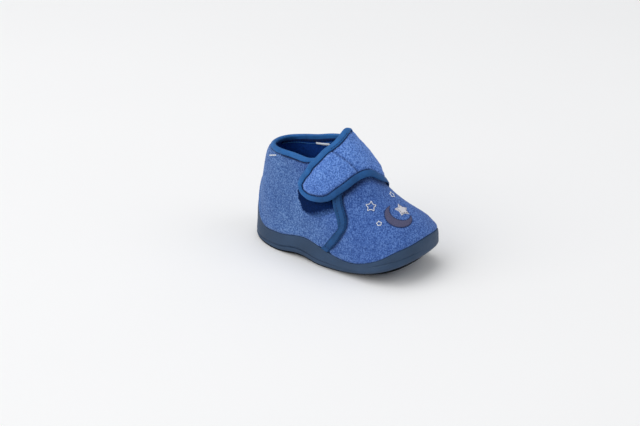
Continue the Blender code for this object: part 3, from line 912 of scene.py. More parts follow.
class SLIPPER_OT_upper(bpy.types.Operator):
    """Builds the fleece upper, its quarter lapped over the vamp"""

    bl_idname = "slipper.upper"
    bl_label = "Fleece upper"

    def execute(self, context):
        sizes = context.scene.slipper_sizes
        around = ring(UPPER_COLUMNS)
        place_round, place_level = upper_places(around, UPPER_ROWS)
        base = last(place_round, place_level)
        steps = np.linalg.norm(np.diff(base, axis=0), axis=-1)
        below_top = np.concatenate([np.cumsum(steps[::-1], axis=0)[::-1], np.zeros((1, steps.shape[1]))])
        above_lip = base[..., 2] - toe_lift(base[..., 0]) - wall_height(around)
        out = nap(base, sizes) + SWELL * tufts(base, SWELL_SIZE) * ease(above_lip / SWELL_ABOVE_LIP)
        out += lapped(place_round, place_level, above_lip)
        # The dents bring painted shade for the fleece's colour
        sunk, shade = tucked(base)
        roll = ease(above_lip / LIP_ROLL_START) * (1 - rise(above_lip, *LIP_ROLL_ENDS))
        out += LIP_ROLL * roll * clear_of_tape(base)
        out -= (creased(base) + sunk) * ease(above_lip / DENTS_ABOVE_LIP)
        below_tape = below_top - sizes.tape_width + UNDER_TAPE
        out -= TAPE_SINK * (1 - ease((below_tape + TAPE_SINK_START) / TAPE_SINK_RUN))
        out[:, -1] = out[:, 0]
        shade[:, -1] = shade[:, 0]
        outside = skin(place_round, place_level, out)
        inner_round, inner_level = upper_places(around, UPPER_INSIDE_ROWS)
        shape = slab(outside, skin(inner_round, inner_level, -FLEECE_BACK), shade, closed=True)
        finish = fleece_finish("fleece_blue", context.scene.slipper_colours, 1.0, 1.0, True)
        made = piece("upper_fleece", shape, finish, "upper")
        return {"FINISHED"}


LINING_COLUMNS = 240
LINING_ROWS = 64
LINING_OUTER = 2.3 * MM
LINING_SLACK = 0.35 * MM
LINING_SLACK_SIZE = 12.0 * MM
FLOOR_COLUMNS = 192
FLOOR_ACROSS = 32
FOOTBED_ROWS = 6
FOOTBED_ROUND = 0.8 * MM
Hollow = namedtuple("Hollow", "x long wide depth")
HOLLOWS = (
    Hollow(-45.0 * MM, 18.0 * MM, 14.0 * MM, 0.8 * MM),
    Hollow(28.0 * MM, 20.0 * MM, 20.0 * MM, 0.6 * MM),
)


def floor_height():
    """Height of the sole's inner floor above its underside."""
    return HEEL_HEIGHT * CONTOURS[0].heel_z - GAP


def cup_floor(x, y):
    """Height of the sole's inner floor at x, the same for every y."""
    return toe_lift(x) + floor_height()


class SLIPPER_OT_inside(bpy.types.Operator):
    """Builds the lining and the footbed"""

    bl_idname = "slipper.inside"
    bl_label = "Lining and footbed"

    def execute(self, context):
        colours = context.scene.slipper_colours
        finish = cloth_finish("lining_navy", colours.lining, 1.6 * MM, 0.35 * MM, 0.4)
        around = ring(LINING_COLUMNS)
        top_round, top_level = top_edge(around, UNDER_TAPE)
        share = np.linspace(0, 1, LINING_ROWS)[:, None]
        place = around + (top_round - around) * share, top_level * share
        slack = LINING_SLACK * tufts(last(*place), LINING_SLACK_SIZE) * np.sin(np.pi * share)
        slack[:, -1] = slack[:, 0]
        shape = slab(skin(*place, -LINING_OUTER), skin(*place, -UPPER_WALL + slack), closed=True)
        piece("upper_lining", shape, finish)
        self.footbed(finish)
        return {"FINISHED"}

    def footbed(self, finish):
        around = ring(FLOOR_COLUMNS)
        bottom = floor_height() + GAP
        rows = []
        for up in np.linspace(0, INSOLE_THICKNESS, FOOTBED_ROWS):
            level = level_at(around, bottom + up, -UPPER_WALL)
            soft = FOOTBED_ROUND * (2 * up / INSOLE_THICKNESS - 1) ** 6
            edge = skin(around, level, -UPPER_WALL - INSOLE_CLEARANCE - soft)
            edge[:, 2] = toe_lift(edge[:, 0]) + bottom + up
            rows.append(edge)

        def low_face(x, y):
            return toe_lift(x) + bottom

        def top_face(x, y):
            pressed = sum(one.depth * bell(x - one.x, one.long) * bell(y, one.wide) for one in HOLLOWS)
            return toe_lift(x) + bottom + INSOLE_THICKNESS - pressed

        shape = bmesh.new()
        sheet(shape, rows)
        disc(shape, rows[0], FLOOR_ACROSS, low_face)
        disc(shape, rows[-1], FLOOR_ACROSS, top_face)
        made = piece("footbed", shape, finish, "insole")


SOLE_COLUMNS = 384
SOLE_ACROSS = 64
SOLE_EDGE_ROWS = 12
SOLE_FLANK_ROWS = 6
SOLE_WALL_ROWS = 56
SOLE_INSIDE_ROWS = 10
LIP_ROWS = 5
LIP_ROUND = 0.35
WALL_CROWDING = 1.3
FOOT_PASSES = 3
STEP_SHARES = (0.0, 0.1, 0.9, 1.0)
PART_LINE_HEEL = 2.6 * MM
PART_LINE_WAIST = 5.2 * MM
PART_LINE_TOE = 10.0 * MM
PART_LINE_DEPTH = 1.05 * MM
PART_LINE_WIDTH = 0.50 * MM
PART_LINE_TO_WAIST = (0.06, 0.36)
PART_LINE_TO_TOE = (0.50, 0.75)
HEEL_LINE_ENDS = (0.44, 0.56)
TOE_LINE_SHARE = 0.45
TOE_LINE_STARTS = (0.62, 0.70)
TOE_LINE_ENDS = (0.44, 0.49)
WALL_START = 0.3 * MM
EDGE_LEAST = 3.0 * MM
TreadStep = namedtuple("TreadStep", "way keep inset rise")
TREAD_STEPS = (
    TreadStep(0.00, 0.15, 0.1 * MM, 1.2 * MM),
    TreadStep(0.25, 0.15, 0.1 * MM, 1.2 * MM),
    TreadStep(0.45, 0.34, 0.2 * MM, 1.2 * MM),
    TreadStep(0.62, 0.80, 2.0 * MM, 2.0 * MM),
    TreadStep(0.78, 1.00, 5.0 * MM, 3.5 * MM),
    TreadStep(1.00, 1.00, 5.0 * MM, 3.7 * MM),
)
FOOT_BAND = 0.35 * MM
FOOT_BAND_EDGE = 1.2 * MM


def part_line(around, points):
    """How deep the sole's side sinks at points: a moulded line at heel and toe over a raised band."""
    way = heel_to_toe(around)
    height = PART_LINE_HEEL + (PART_LINE_WAIST - PART_LINE_HEEL) * rise(way, *PART_LINE_TO_WAIST)
    height += (PART_LINE_TOE - PART_LINE_WAIST) * rise(way, *PART_LINE_TO_TOE)
    heel = 1 - rise(way, *HEEL_LINE_ENDS)
    toe = TOE_LINE_SHARE * rise(way, *TOE_LINE_STARTS) * (1 - rise(around, *TOE_LINE_ENDS))
    above = points[..., 2] - underside(points[..., 0])
    band = FOOT_BAND * heel * ease((height - above) / FOOT_BAND_EDGE)
    return np.maximum(heel, toe) * (PART_LINE_DEPTH * bell(above - height, PART_LINE_WIDTH) - band)


def tread(rim):
    """A function for the height of the sole's underside, with grooves between the lugs."""

    def height(x, y):
        off_rim = inside_rim(rim, x, y)
        deep = np.zeros_like(x)
        for run in GROOVE_RUNS:
            for number in range(run.count):
                away = np.abs(x - run.first_x - number * GROOVE_SPACING)
                deep = np.maximum(deep, ease((GROOVE_WIDTH / 2 - away) / GROOVE_EDGE + 0.5))
        inside = ease((off_rim - GROOVE_OFF_RIM) / GROOVE_END + 0.5)
        return underside(x) + GROOVE_DEPTH * deep * inside

    return height


class SLIPPER_OT_sole(bpy.types.Operator):
    """Builds the moulded cup sole"""

    bl_idname = "slipper.sole"
    bl_label = "Cup sole"

    def execute(self, context):
        around = ring(SOLE_COLUMNS)
        lip = wall_top(around)
        base = sole_outside(around, lip, 0.0)
        widest, outward = outline(around)
        way = heel_to_toe(around)
        inset = table(EDGES, "way", "inset", way) * table(TREAD_STEPS, "way", "keep", way)
        step_in = table(TREAD_STEPS, "way", "inset", way)
        step_up = table(TREAD_STEPS, "way", "rise", way)
        height = np.maximum(table(EDGES, "way", "height", way), step_up + EDGE_LEAST)
        shares = np.linspace(0, 1, SOLE_WALL_ROWS)
        heights = np.array([sole_outside(around, lip, share)[:, 2] for share in shares]).T
        for _ in range(FOOT_PASSES):
            foot = underside(base[:, 0]) + height + WALL_START
            start = np.array([np.interp(one, column, shares) for one, column in zip(foot, heights)])
            base = sole_outside(around, lip, start)
        rows = []
        for share in STEP_SHARES:
            step = base - outward * (inset + step_in)[:, None]
            step[:, 2] = underside(step[:, 0]) + step_up * share
            rows.append(step)
        for turn in np.linspace(0, np.pi / 2, SOLE_EDGE_ROWS):
            edge = base - outward * (inset * (1 - np.sin(turn)))[:, None]
            edge[:, 2] = underside(edge[:, 0]) + step_up + (height - step_up) * (1 - np.cos(turn))
            rows.append(edge)
        wall = [sole_outside(around, lip, start + (1 - start) * share) for share in shares**WALL_CROWDING]
        flank = np.linspace(0, 1, SOLE_FLANK_ROWS + 2)[1:-1]
        rows += [edge + (wall[0] - edge) * share for share in flank]
        rows += wall
        side = len(STEP_SHARES)
        rows[side:] = [row - outward * part_line(around, row)[:, None] for row in rows[side:]]
        outer_lip = rows[-1]
        inner_lip = skin(around, lip, GAP)
        for turn in np.linspace(0, np.pi, LIP_ROWS + 2)[1:-1]:
            row = outer_lip + (inner_lip - outer_lip) * (1 - np.cos(turn)) / 2
            row[:, 2] += SOLE_LIP * LIP_ROUND * np.sin(turn)
            rows.append(row)
        rows += [skin(around, lip * share, GAP) for share in np.linspace(1, 0, SOLE_INSIDE_ROWS)]
        floor = rows[-1].copy()
        floor[:, 2] = cup_floor(floor[:, 0], floor[:, 1])
        rows.append(floor)
        shape = bmesh.new()
        sheet(shape, rows)
        disc(shape, rows[0], SOLE_ACROSS, tread(widest))
        disc(shape, floor, SOLE_ACROSS, cup_floor)
        finish = rubber_finish("rubber_slate", context.scene.slipper_colours)
        piece("cup_sole", shape, finish, "sole")
        return {"FINISHED"}


def strap_inside(around):
    """The strap's distance off the last: over the instep it lies on the upper, at its end on the patch."""
    return STRAP_OFF_QUARTER + (STRAP_OFF_INSTEP - STRAP_OFF_QUARTER) * rise(around, *STRAP_SETTLES)


STRAP_COLUMNS = 320
STRAP_ROWS = 100
STRAP_FOOT_POINTS = 40
STRAP_TIP = 20
TIP_CROWDING = 1.3
STRAP_INSET = 1.5 * MM
STRAP_TAPE_WIDTH = 4.6 * MM
STITCH_IN = 5.2 * MM
SEAM_ROUNDS = (0.397, 0.399, 0.404, 0.411, 0.418, 0.423, 0.428)
SEAM_LEVELS = (1.030, 0.980, 0.938, 0.894, 0.860, 0.816, 0.740)
SEAM_POINTS = 200
SEAM_LAP = 0.75 * MM
SEAM_EDGE = 0.35 * MM
SEAM_FADE = 11.0 * MM
SEAM_DIP = 0.75 * MM
SEAM_DIP_AT = 0.5 * MM
SEAM_DIP_WIDTH = 1.2 * MM
# Painted shade along the seam's lapped edge and along the stitch groove by the tape
SEAM_PAINTED_SHADE = 0.42
SEAM_PAINTED_SHADE_AT = 0.6 * MM
SEAM_PAINTED_SHADE_WIDTH = 0.75 * MM
EDGE_PAINTED_SHADE = 0.45
EDGE_PAINTED_SHADE_WIDTH = 0.9 * MM
CROWN_START = 0.3 * MM
CROWN_RUN = 1.2 * MM
PUFFS = ((0.85 * MM, 3.0 * MM), (0.75 * MM, 11.0 * MM))
PUFF_MIDDLE = 8.0 * MM
STRAP_FLATTER = 1.40 * MM
FLATTER_ROUNDS = (0.42, 0.52)
FLATTER_RUN = 6.0 * MM
STITCH_SINK = 0.55 * MM
STITCH_SINK_WIDTH = 0.5 * MM
UNDER_TAPE_LOST = 1.3 * MM
INSIDE_EDGE = 0.5 * MM
INSIDE_EDGE_RUN = 1.4 * MM

# Where the strap is pressed thin, by round and by level, and where its rear tape turns under
PRESSED_ENDS = (0.70, 0.80)
FRONT_ROUNDS = (0.44, 0.52)
FRONT_LEVELS = (0.80, 0.92)
FRONT_PRESSED = 0.65
REAR_ROUNDS = (0.545, 0.585)
REAR_LEVELS = (0.88, 0.96)
REAR_PRESSED = 0.45
TURNED_STARTS = (0.525, 0.555)
TURNED_ENDS = (0.68, 0.76)
TURNED_UNDER = 0.60


def strap_outline(count):
    """The strap's outline: from its foot by the front edge round its free end and back by the rear edge."""
    along = np.linspace(-1, 1, 2 * count + 1)
    along = np.sign(along) * np.abs(along) ** TIP_CROWDING
    ways = [-row.way for row in STRAP[:0:-1]] + [row.way for row in STRAP]
    rounds = [row.low_round for row in STRAP[:0:-1]] + [row.high_round for row in STRAP]
    levels = [row.low_level for row in STRAP[:0:-1]] + [row.high_level for row in STRAP]
    return smooth(ways, rounds, along), smooth(ways, levels, along)


def strap_places(inset):
    """Rows of places across the strap, a distance inside its outline, from front edge to rear edge."""
    around, level = strap_outline(STRAP_COLUMNS)
    edge_round, edge_level = walk(around, level, -inset)
    front = slice(STRAP_COLUMNS - STRAP_TIP, None, -1)
    rear = slice(STRAP_COLUMNS + STRAP_TIP, None)
    share = np.linspace(0, 1, STRAP_ROWS)[:, None]
    place_round = edge_round[front] + (edge_round[rear] - edge_round[front]) * share
    place_level = edge_level[front] + (edge_level[rear] - edge_level[front]) * share
    return place_round, place_level


def seam_course(count):
    """The course of the stitched seam across the strap."""
    at = np.linspace(0, len(SEAM_ROUNDS) - 1, count)
    knots = np.arange(len(SEAM_ROUNDS))
    return smooth(knots, SEAM_ROUNDS, at), smooth(knots, SEAM_LEVELS, at)


def strap_squeeze(around, level):
    """How much of its thickness the strap keeps: its edges are pressed thin over the inner instep."""
    over = 1 - rise(around, *PRESSED_ENDS)
    front = rise(around, *FRONT_ROUNDS) * over * (1 - rise(level, *FRONT_LEVELS))
    rear = rise(around, *REAR_ROUNDS) * over * rise(level, *REAR_LEVELS)
    return 1 - FRONT_PRESSED * front - REAR_PRESSED * rear


def tape_share(around, level):
    """How much of its width the strap's tape shows: past the peak its rear edge turns under the fleece."""
    past_peak = rise(around, *TURNED_STARTS) * (1 - rise(around, *TURNED_ENDS))
    return 1 - TURNED_UNDER * past_peak * rise(level, *REAR_LEVELS)


def strap_depth(points):
    """How far points lie inside the strap's outline."""
    around, level = strap_outline(STRAP_COLUMNS)
    share = np.linspace(0, 1, STRAP_FOOT_POINTS)
    foot = around[0] + (around[-1] - around[0]) * share, level[0] + (level[-1] - level[0]) * share
    rim = np.concatenate([last(around, level), last(*foot)])
    return nearest(points, rim)[0]


def seam_aside(around, level):
    """How far places lie from the strap's seam, negative on the side of its free end, for rows of places."""
    seam_round, seam_level = seam_course(SEAM_POINTS)
    away, index = nearest(last(around, level), last(seam_round, seam_level))
    return np.where(around < seam_round[index], -away, away)


def strap_face(around, level):
    """The strap's outer face without its nap, as a distance off the last, for rows of places."""
    share = tape_share(around, level)
    off_edge = strap_depth(last(around, level))
    depth = off_edge / share
    inner = off_edge - STITCH_IN * share
    aside = seam_aside(around, level)
    lap = SEAM_LAP * (1 - np.tanh(aside / SEAM_EDGE)) / 2 * np.exp(np.minimum(aside, 0) / SEAM_FADE)
    dip = SEAM_DIP * bell(aside - SEAM_DIP_AT, SEAM_DIP_WIDTH)
    crown = ease((depth - STRAP_TAPE_WIDTH + CROWN_START) / CROWN_RUN)
    puff = sum(height * ease(inner / run) for height, run in PUFFS)
    puff -= STRAP_FLATTER * rise(around, *FLATTER_ROUNDS) * ease(inner / FLATTER_RUN)
    groove = STITCH_SINK * bell(depth - STITCH_IN, STITCH_SINK_WIDTH)
    edge = (STRAP_THICKNESS - UNDER_TAPE_LOST * (1 - crown)) * strap_squeeze(around, level)
    full = edge + (STRAP_THICKNESS - edge) * ease(inner / PUFF_MIDDLE) * crown
    return strap_inside(around) + full + puff - groove + (lap - dip) * crown


class SLIPPER_OT_strap(bpy.types.Operator):
    """Builds the padded fleece strap with its stitched seam"""

    bl_idname = "slipper.strap"
    bl_label = "Strap"

    def execute(self, context):
        sizes = context.scene.slipper_sizes
        place_round, place_level = strap_places(STRAP_INSET)
        base = last(place_round, place_level)
        outside = skin(place_round, place_level, strap_face(place_round, place_level) + nap(base, sizes))
        depth = strap_depth(base) / tape_share(place_round, place_level)
        edge = 1 - ease((depth - STRAP_TAPE_WIDTH) / INSIDE_EDGE_RUN)
        # Painted shade along the seam and the stitch groove, for the strap's fleece colour
        seam = SEAM_PAINTED_SHADE * bell(seam_aside(place_round, place_level) - SEAM_PAINTED_SHADE_AT, SEAM_PAINTED_SHADE_WIDTH)
        shade = np.maximum(seam, EDGE_PAINTED_SHADE * bell(depth - STITCH_IN, EDGE_PAINTED_SHADE_WIDTH))
        inside = skin(place_round, place_level, strap_inside(place_round) + INSIDE_EDGE * edge)
        shape = slab(outside, inside, shade)
        finish = fleece_finish("strap_fleece", context.scene.slipper_colours, 1.06, 0.90, False)
        made = piece("strap_fleece", shape, finish, "strap")
        return {"FINISHED"}


COLLAR_TAPE_COLUMNS = 256
STRAP_TAPE_COLUMNS = 150
LEG_POINTS = 9
FOLD_POINTS = 9
TAPE_BULGE = 0.45 * MM
TAPE_PROUD = 0.15 * MM
TAPE_PROUD_INSIDE = 0.1 * MM
FOLD_DEPTH = 1.4 * MM


def tape_section(width, leg, thickness):
    """A folded tape's cross-section as (out, aside) pairs: its outer skin end to end, and back inside."""
    share = np.linspace(0, 1, LEG_POINTS)
    flat = width - FOLD_DEPTH
    swollen = TAPE_BULGE * np.sin(np.pi * np.clip(share * 0.9 + 0.1, 0, 1)) ** 0.8
    outer = [(thickness + TAPE_PROUD + bulge, -width + flat * part) for part, bulge in zip(share, swollen)]
    start = outer[-1][0]
    middle, half = (start - TAPE_PROUD_INSIDE) / 2, (start + TAPE_PROUD_INSIDE) / 2
    turns = np.linspace(0, np.pi, FOLD_POINTS)[1:-1]
    fold = [(middle + half * np.cos(turn), -FOLD_DEPTH * (1 - np.sin(turn))) for turn in turns]
    inner = [(-TAPE_PROUD_INSIDE, -FOLD_DEPTH - flat * part) for part in share]
    back = [(leg, -width), (leg, -FOLD_DEPTH), (thickness - leg, -FOLD_DEPTH), (thickness - leg, -width)]
    return outer + fold + inner + back


def binding(name, around, level, inside, section, keep, wide, closed, context, node, gain, painted_shade_until=None):
    """A tape folded over the edge of a wall, along the outline that its fold reaches.

    Its thickness is times keep and its width times wide.
    """
    rows = []
    for out, aside in section:
        place = walk(around, level, aside * wide, closed)
        rows.append(skin(*place, inside(place[0]) + out * keep))
    length = np.linalg.norm(np.diff(rows[0], axis=0), axis=-1).sum()
    shape = bmesh.new()
    sheet(shape, rows + rows[:1])
    if not closed:
        for end in (0, -1):
            cap(shape, [row[end] for row in rows])
    finish = tape_finish(name, context.scene.slipper_colours, length, gain, painted_shade_until)
    return piece(name, shape, finish, node)


def collar_inside(around):
    """The inner face of the upper's wall, as a distance off the last."""
    return np.full_like(around, -UPPER_WALL)


TAPE_WAYS = np.linspace(0, 1, 150)
TAPE_SHARES = np.linspace(0, 1, 32)
TAPE_UNDER_LIP = 0.02
TAPE_FOOT = 0.5 * MM
TAPE_EDGES = (0.10, 0.14)
TAPE_OFF_QUARTER = 0.15 * MM
TAPE_ROLL = 0.40 * MM
TAPE_WAVE = 0.10 * MM
TAPE_WAVE_SIZE = 6.0 * MM
SKIN_GAP = 0.1 * MM
FOLD_AT = 0.545
FOLD_SLANT = 0.045
FOLD_RUN = 0.02
FOLD_HEIGHT = 0.40 * MM
FOLD_RIDGE = 0.55 * MM
RIDGE_AT = 0.20
RIDGE_WIDTH = 0.12


def over_lip(around, level, clearance):
    """Levels kept above the sole's lip."""
    lip = wall_top(around.ravel()).reshape(around.shape)
    return np.maximum(level, lip + clearance)


def quarter_tape_top(way, share):
    """The quarter tape's outer face along it and across it from the rear, as a distance off the last."""
    shown = ease(share / TAPE_EDGES[0]) * ease((1 - share) / TAPE_EDGES[1])
    roll = TAPE_ROLL * np.sin(np.pi * np.clip((share - 0.30) / 0.70, 0, 1))
    over = 1 - ease((way - FOLD_AT + FOLD_SLANT * share) / FOLD_RUN + 0.5)
    ridge = FOLD_RIDGE * bell(share - RIDGE_AT, RIDGE_WIDTH)
    return TAPE_FOOT + (LAP_HEIGHT + TAPE_OFF_QUARTER + roll + over * (FOLD_HEIGHT + ridge)) * shown


class SLIPPER_OT_bindings(bpy.types.Operator):
    """Builds the folded tapes on the collar, the strap and the outer quarter"""

    bl_idname = "slipper.bindings"
    bl_label = "Folded tapes"

    def execute(self, context):
        sizes = context.scene.slipper_sizes
        around = ring(COLLAR_TAPE_COLUMNS)
        level = np.ones_like(around)
        section = tape_section(sizes.tape_width, sizes.tape_thickness, UPPER_WALL)
        fold = collar_inside, section, 1.0, 1.0, True
        binding("collar_tape", around, level, *fold, context, "collar_binding", 1.60)
        around, level = strap_outline(STRAP_TAPE_COLUMNS)
        section = tape_section(STRAP_TAPE_WIDTH, sizes.tape_thickness, STRAP_THICKNESS)
        keep, wide = strap_squeeze(around, level), tape_share(around, level)
        fold = strap_inside, section, keep, wide, False
        # The strap tape's run from its foot along the front edge, to 0.34 of its length, gets painted shade
        binding("strap_tape", around, level, *fold, context, "strap_binding", 1.62, 0.34)
        self.quarter_tape(context)
        return {"FINISHED"}

    def quarter_tape(self, context):
        place_round, place_level = band_places(QUARTER_TAPE, TAPE_WAYS, TAPE_SHARES)
        place_level = over_lip(place_round, place_level, -TAPE_UNDER_LIP)
        base = last(place_round, place_level)
        out = quarter_tape_top(TAPE_WAYS[:, None], TAPE_SHARES) + TAPE_WAVE * tufts(base, TAPE_WAVE_SIZE)
        outside = skin(place_round, place_level, out)
        inside = skin(place_round, place_level, SKIN_GAP)
        length = np.linalg.norm(np.diff(base[:, 0], axis=0), axis=-1).sum()
        shape = slab(outside.swapaxes(0, 1), inside.swapaxes(0, 1))
        # Painted shade: this copy of the collar's and strap's tape is darker, gain 0.92 against 1.60 and
        # 1.62, for the shade under the strap
        finish = tape_finish("quarter_tape", context.scene.slipper_colours, length, 0.92)
        piece("quarter_tape", shape, finish, "quarter_binding")


PATCH_WAYS = np.linspace(0, 1, 110)
PATCH_SHARES = np.linspace(0, 1, 64)
PATCH_FOOT = 0.4 * MM
PATCH_PILE = 0.35 * MM
PATCH_REACH = 0.012

# The patch's frayed edge and its fuzz: sizes of their tufts and how much each size counts
FRAYS = ((0.9 * MM, 1.0), (2.4 * MM, 0.6))
FRAY_LEVELS = (0.014, 0.008)
FRAY_ROUNDS = (0.005, 0.004)
FUZZES = ((0.7 * MM, 0.22 * MM), (1.9 * MM, 0.14 * MM))


class SLIPPER_OT_loop_patch(bpy.types.Operator):
    """Builds the fuzzy loop patch under the strap's free end"""

    bl_idname = "slipper.loop_patch"
    bl_label = "Loop patch"

    def execute(self, context):
        way, share = PATCH_WAYS[:, None], PATCH_SHARES[None]
        place_round, place_level = band_places(LOOP_PATCH, PATCH_WAYS, PATCH_SHARES)
        base = last(place_round, place_level)
        ragged = sum(part * tufts(base, size) for size, part in FRAYS)
        place_level = place_level - (FRAY_LEVELS[0] + FRAY_LEVELS[1] * ragged) * (1 - share) ** 6
        place_round = place_round - (FRAY_ROUNDS[0] + FRAY_ROUNDS[1] * ragged) * (1 - way) ** 6
        place_round = place_round + PATCH_REACH * way**4
        base = last(place_round, place_level)
        flat = 1 - np.maximum((2 * share - 1) ** 12, (2 * way - 1) ** 12)
        fuzz = sum(height * tufts(base, size) for size, height in FUZZES)
        out = PATCH_FOOT + (LAP_HEIGHT + PATCH_PILE + fuzz) * flat**0.4
        outside = skin(place_round, place_level, out)
        inside = skin(place_round, place_level, SKIN_GAP)
        shape = slab(outside.swapaxes(0, 1), inside.swapaxes(0, 1))
        finish = loop_finish("loop_navy", context.scene.slipper_colours)
        piece("loop_patch_pile", shape, finish, "loop_patch")
        return {"FINISHED"}


# Threads

THREAD_AROUND = 8
THREAD_ALONG = 5


def stitch(shape, start, end, outward, width):
    """Adds one stitch: a thread that dips into the cloth at both ends."""
    start, end, outward = Vector(start), Vector(end), Vector(outward)
    course = end - start
    long = course.normalized()
    side = outward.cross(long).normalized()
    up = long.cross(side)
    turn = Matrix((long, side, up)).transposed().to_4x4()
    place = Matrix.Translation((start + end) / 2 - Vector(CENTRE))
    size = Matrix.Diagonal((course.length / 2, width / 2, width / 2, 1.0))
    bmesh.ops.create_uvsphere(
        shape, u_segments=THREAD_AROUND, v_segments=THREAD_ALONG, radius=1.0, matrix=place @ turn @ size
    )


def evenly(points, pitch):
    """Places, as numbers along a course of points, that lie a pitch apart."""
    steps = np.linalg.norm(np.diff(points, axis=0), axis=-1)
    far = np.concatenate([[0.0], np.cumsum(steps)])
    count = max(2, int(far[-1] / pitch))
    return np.interp(np.linspace(0, far[-1], count + 1), far, np.arange(len(points)))


def stitch_row(shape, around, level, out, pitch, length, width):
    """Adds a row of stitches along a course on the last."""
    index = np.arange(len(around))
    out = np.broadcast_to(out, around.shape)
    at = evenly(skin(around, level, out), pitch)
    for first, second in zip(at[:-1], at[1:]):
        middle, half = (first + second) / 2, (second - first) / 2 * length / pitch
        ends = np.array([middle - half, middle + half])
        spot_round, spot_level, spot_out = (np.interp(ends, index, values) for values in (around, level, out))
        start, end = skin(spot_round, spot_level, spot_out)
        outward = outward_of(spot_round[:1], spot_level[:1])[0]
        stitch(shape, start, end, outward, width)


COLLAR_THREAD_BELOW = 0.35 * MM
COLLAR_THREAD_OUT = -0.20 * MM
RAISED_OUT = 0.75 * MM
RAISED_STARTS = (0.16, 0.21)
RAISED_ENDS = (0.36, 0.41)
SEAM_THREAD_ASIDE = 0.45 * MM
TOPSTITCH_IN = 3.5 * MM
TOPSTITCH_OUT = 0.42 * MM
TOPSTITCH_ROUNDS = (0.40, 0.50)
TOPSTITCH_ABOVE = 0.93
OUTER_OVERLOCK = (0.175, 0.33)
INNER_OVERLOCK = (0.55, 0.97)
PIPING_BELOW = 3.0 * MM
PIPING_OUT = -UPPER_WALL - 0.30 * MM
OVERLOCK_PITCH = 1.3 * MM
ON_TAPE = 0.05 * MM
QUARTER_END = 0.93
QuarterRow = namedtuple("QuarterRow", "share start end")
QUARTER_ROWS = (
    QuarterRow(0.17, FOLD_AT + 0.01, QUARTER_END),
    QuarterRow(0.90, 0.0, QUARTER_END),
    QuarterRow(0.40, 0.02, FOLD_AT - 0.04),
)


class SLIPPER_OT_stitches(bpy.types.Operator):
    """Sews the tapes and the strap's seam"""

    bl_idname = "slipper.stitches"
    bl_label = "Seam stitches"

    def execute(self, context):
        sizes = context.scene.slipper_sizes
        thread = thread_finish("dark_thread", context.scene.slipper_colours.dark_thread)
        shape = bmesh.new()
        around = ring(COLLAR_TAPE_COLUMNS)
        width, pitch = sizes.thread_width, sizes.stitch_pitch
        place = top_edge(around, sizes.tape_width + COLLAR_THREAD_BELOW)
        raised = rise(around, *RAISED_STARTS) * (1 - rise(around, *RAISED_ENDS))
        out = RAISED_OUT * raised + COLLAR_THREAD_OUT
        stitch_row(shape, *place, out, pitch * 0.8, pitch * 0.72, width * 1.6)
        self.overlock(shape, OUTER_OVERLOCK, 1.3 * MM, width, 0.45 * MM, 1.10 * MM)
        inside = -UPPER_WALL - 0.25 * MM, -UPPER_WALL - 0.35 * MM
        self.overlock(shape, INNER_OVERLOCK, 2.3 * MM, width * 1.6, *inside)
        around, level = strap_outline(STRAP_TAPE_COLUMNS)
        place = walk(around, level, -STITCH_IN * tape_share(around, level))
        out = strap_face(place[0][None], place[1][None])[0] - 0.02 * MM
        stitch_row(shape, *place, out, pitch, pitch * 1.05, width * 0.9)
        place = walk(around, level, -TOPSTITCH_IN)
        first, final = TOPSTITCH_ROUNDS
        shown = (place[1] > TOPSTITCH_ABOVE) & (place[0] > first) & (place[0] < final)
        out = strap_inside(place[0]) + (STRAP_THICKNESS + TAPE_PROUD + TOPSTITCH_OUT) * strap_squeeze(*place)
        stitch_row(shape, place[0][shown], place[1][shown], out[shown], pitch, pitch * 0.95, width * 0.8)
        around, level = seam_course(120)
        place = walk(around, level, SEAM_THREAD_ASIDE)
        inner = strap_depth(last(*place)[None])[0] > STITCH_IN
        around, level = place[0][inner], place[1][inner]
        out = strap_face(around[None], level[None])[0] + 0.05 * MM
        stitch_row(shape, around, level, out, pitch, pitch * 0.50, width * 0.6)
        self.quarter(shape, sizes)
        piece("seam_stitches", shape, thread)
        around = np.linspace(*INNER_OVERLOCK, 200)
        place = walk(around, np.ones_like(around), -sizes.tape_width - PIPING_BELOW)
        shape = bmesh.new()
        stitch_row(shape, *place, PIPING_OUT, pitch, pitch * 1.15, width * 1.3)
        piping = thread_finish("piping_thread", tone(context.scene.slipper_colours.tape, 1.5))
        piece("collar_piping", shape, piping)
        return {"FINISHED"}

    def overlock(self, shape, rounds, reach, width, start_out, end_out):
        """Adds short threads side by side over the collar tape's edge, between two rounds."""
        tape = bpy.context.scene.slipper_sizes.tape_width
        around = np.linspace(*rounds, 400)
        edge = np.ones_like(around)
        starts = skin(*walk(around, edge, 0.4 * MM - tape), start_out)
        below = walk(around, edge, -reach - tape)
        ends = skin(*below, end_out)
        facing = outward_of(*below) * np.sign(start_out + UPPER_WALL / 2)
        for at in evenly(starts, OVERLOCK_PITCH).round().astype(int):
            stitch(shape, starts[at], ends[at], facing[at], width)

    def quarter(self, shape, sizes):
        """Adds the rows along the quarter's tape and one row across its end."""
        places = band_places(QUARTER_TAPE, TAPE_WAYS, TAPE_SHARES)
        sewing = sizes.stitch_pitch, sizes.stitch_pitch * 0.72, sizes.thread_width * 0.8
        for share, start, end in QUARTER_ROWS:
            column = round(share * (len(TAPE_SHARES) - 1))
            shown = (TAPE_WAYS >= start) & (TAPE_WAYS <= end)
            around, level = (values[shown, column] for values in places)
            stitch_row(shape, around, level, quarter_tape_top(TAPE_WAYS[shown], share) + ON_TAPE, *sewing)
        row = round(QUARTER_END * (len(TAPE_WAYS) - 1))
        shares = np.linspace(QUARTER_ROWS[0].share, QUARTER_ROWS[1].share, 12)
        around, level = (np.interp(shares, TAPE_SHARES, values[row]) for values in places)
        stitch_row(shape, around, level, quarter_tape_top(QUARTER_END, shares) + ON_TAPE, *sewing)


# Felt and thread on the vamp

CHART_STEPS = 6
STAR_CORNERS = 10


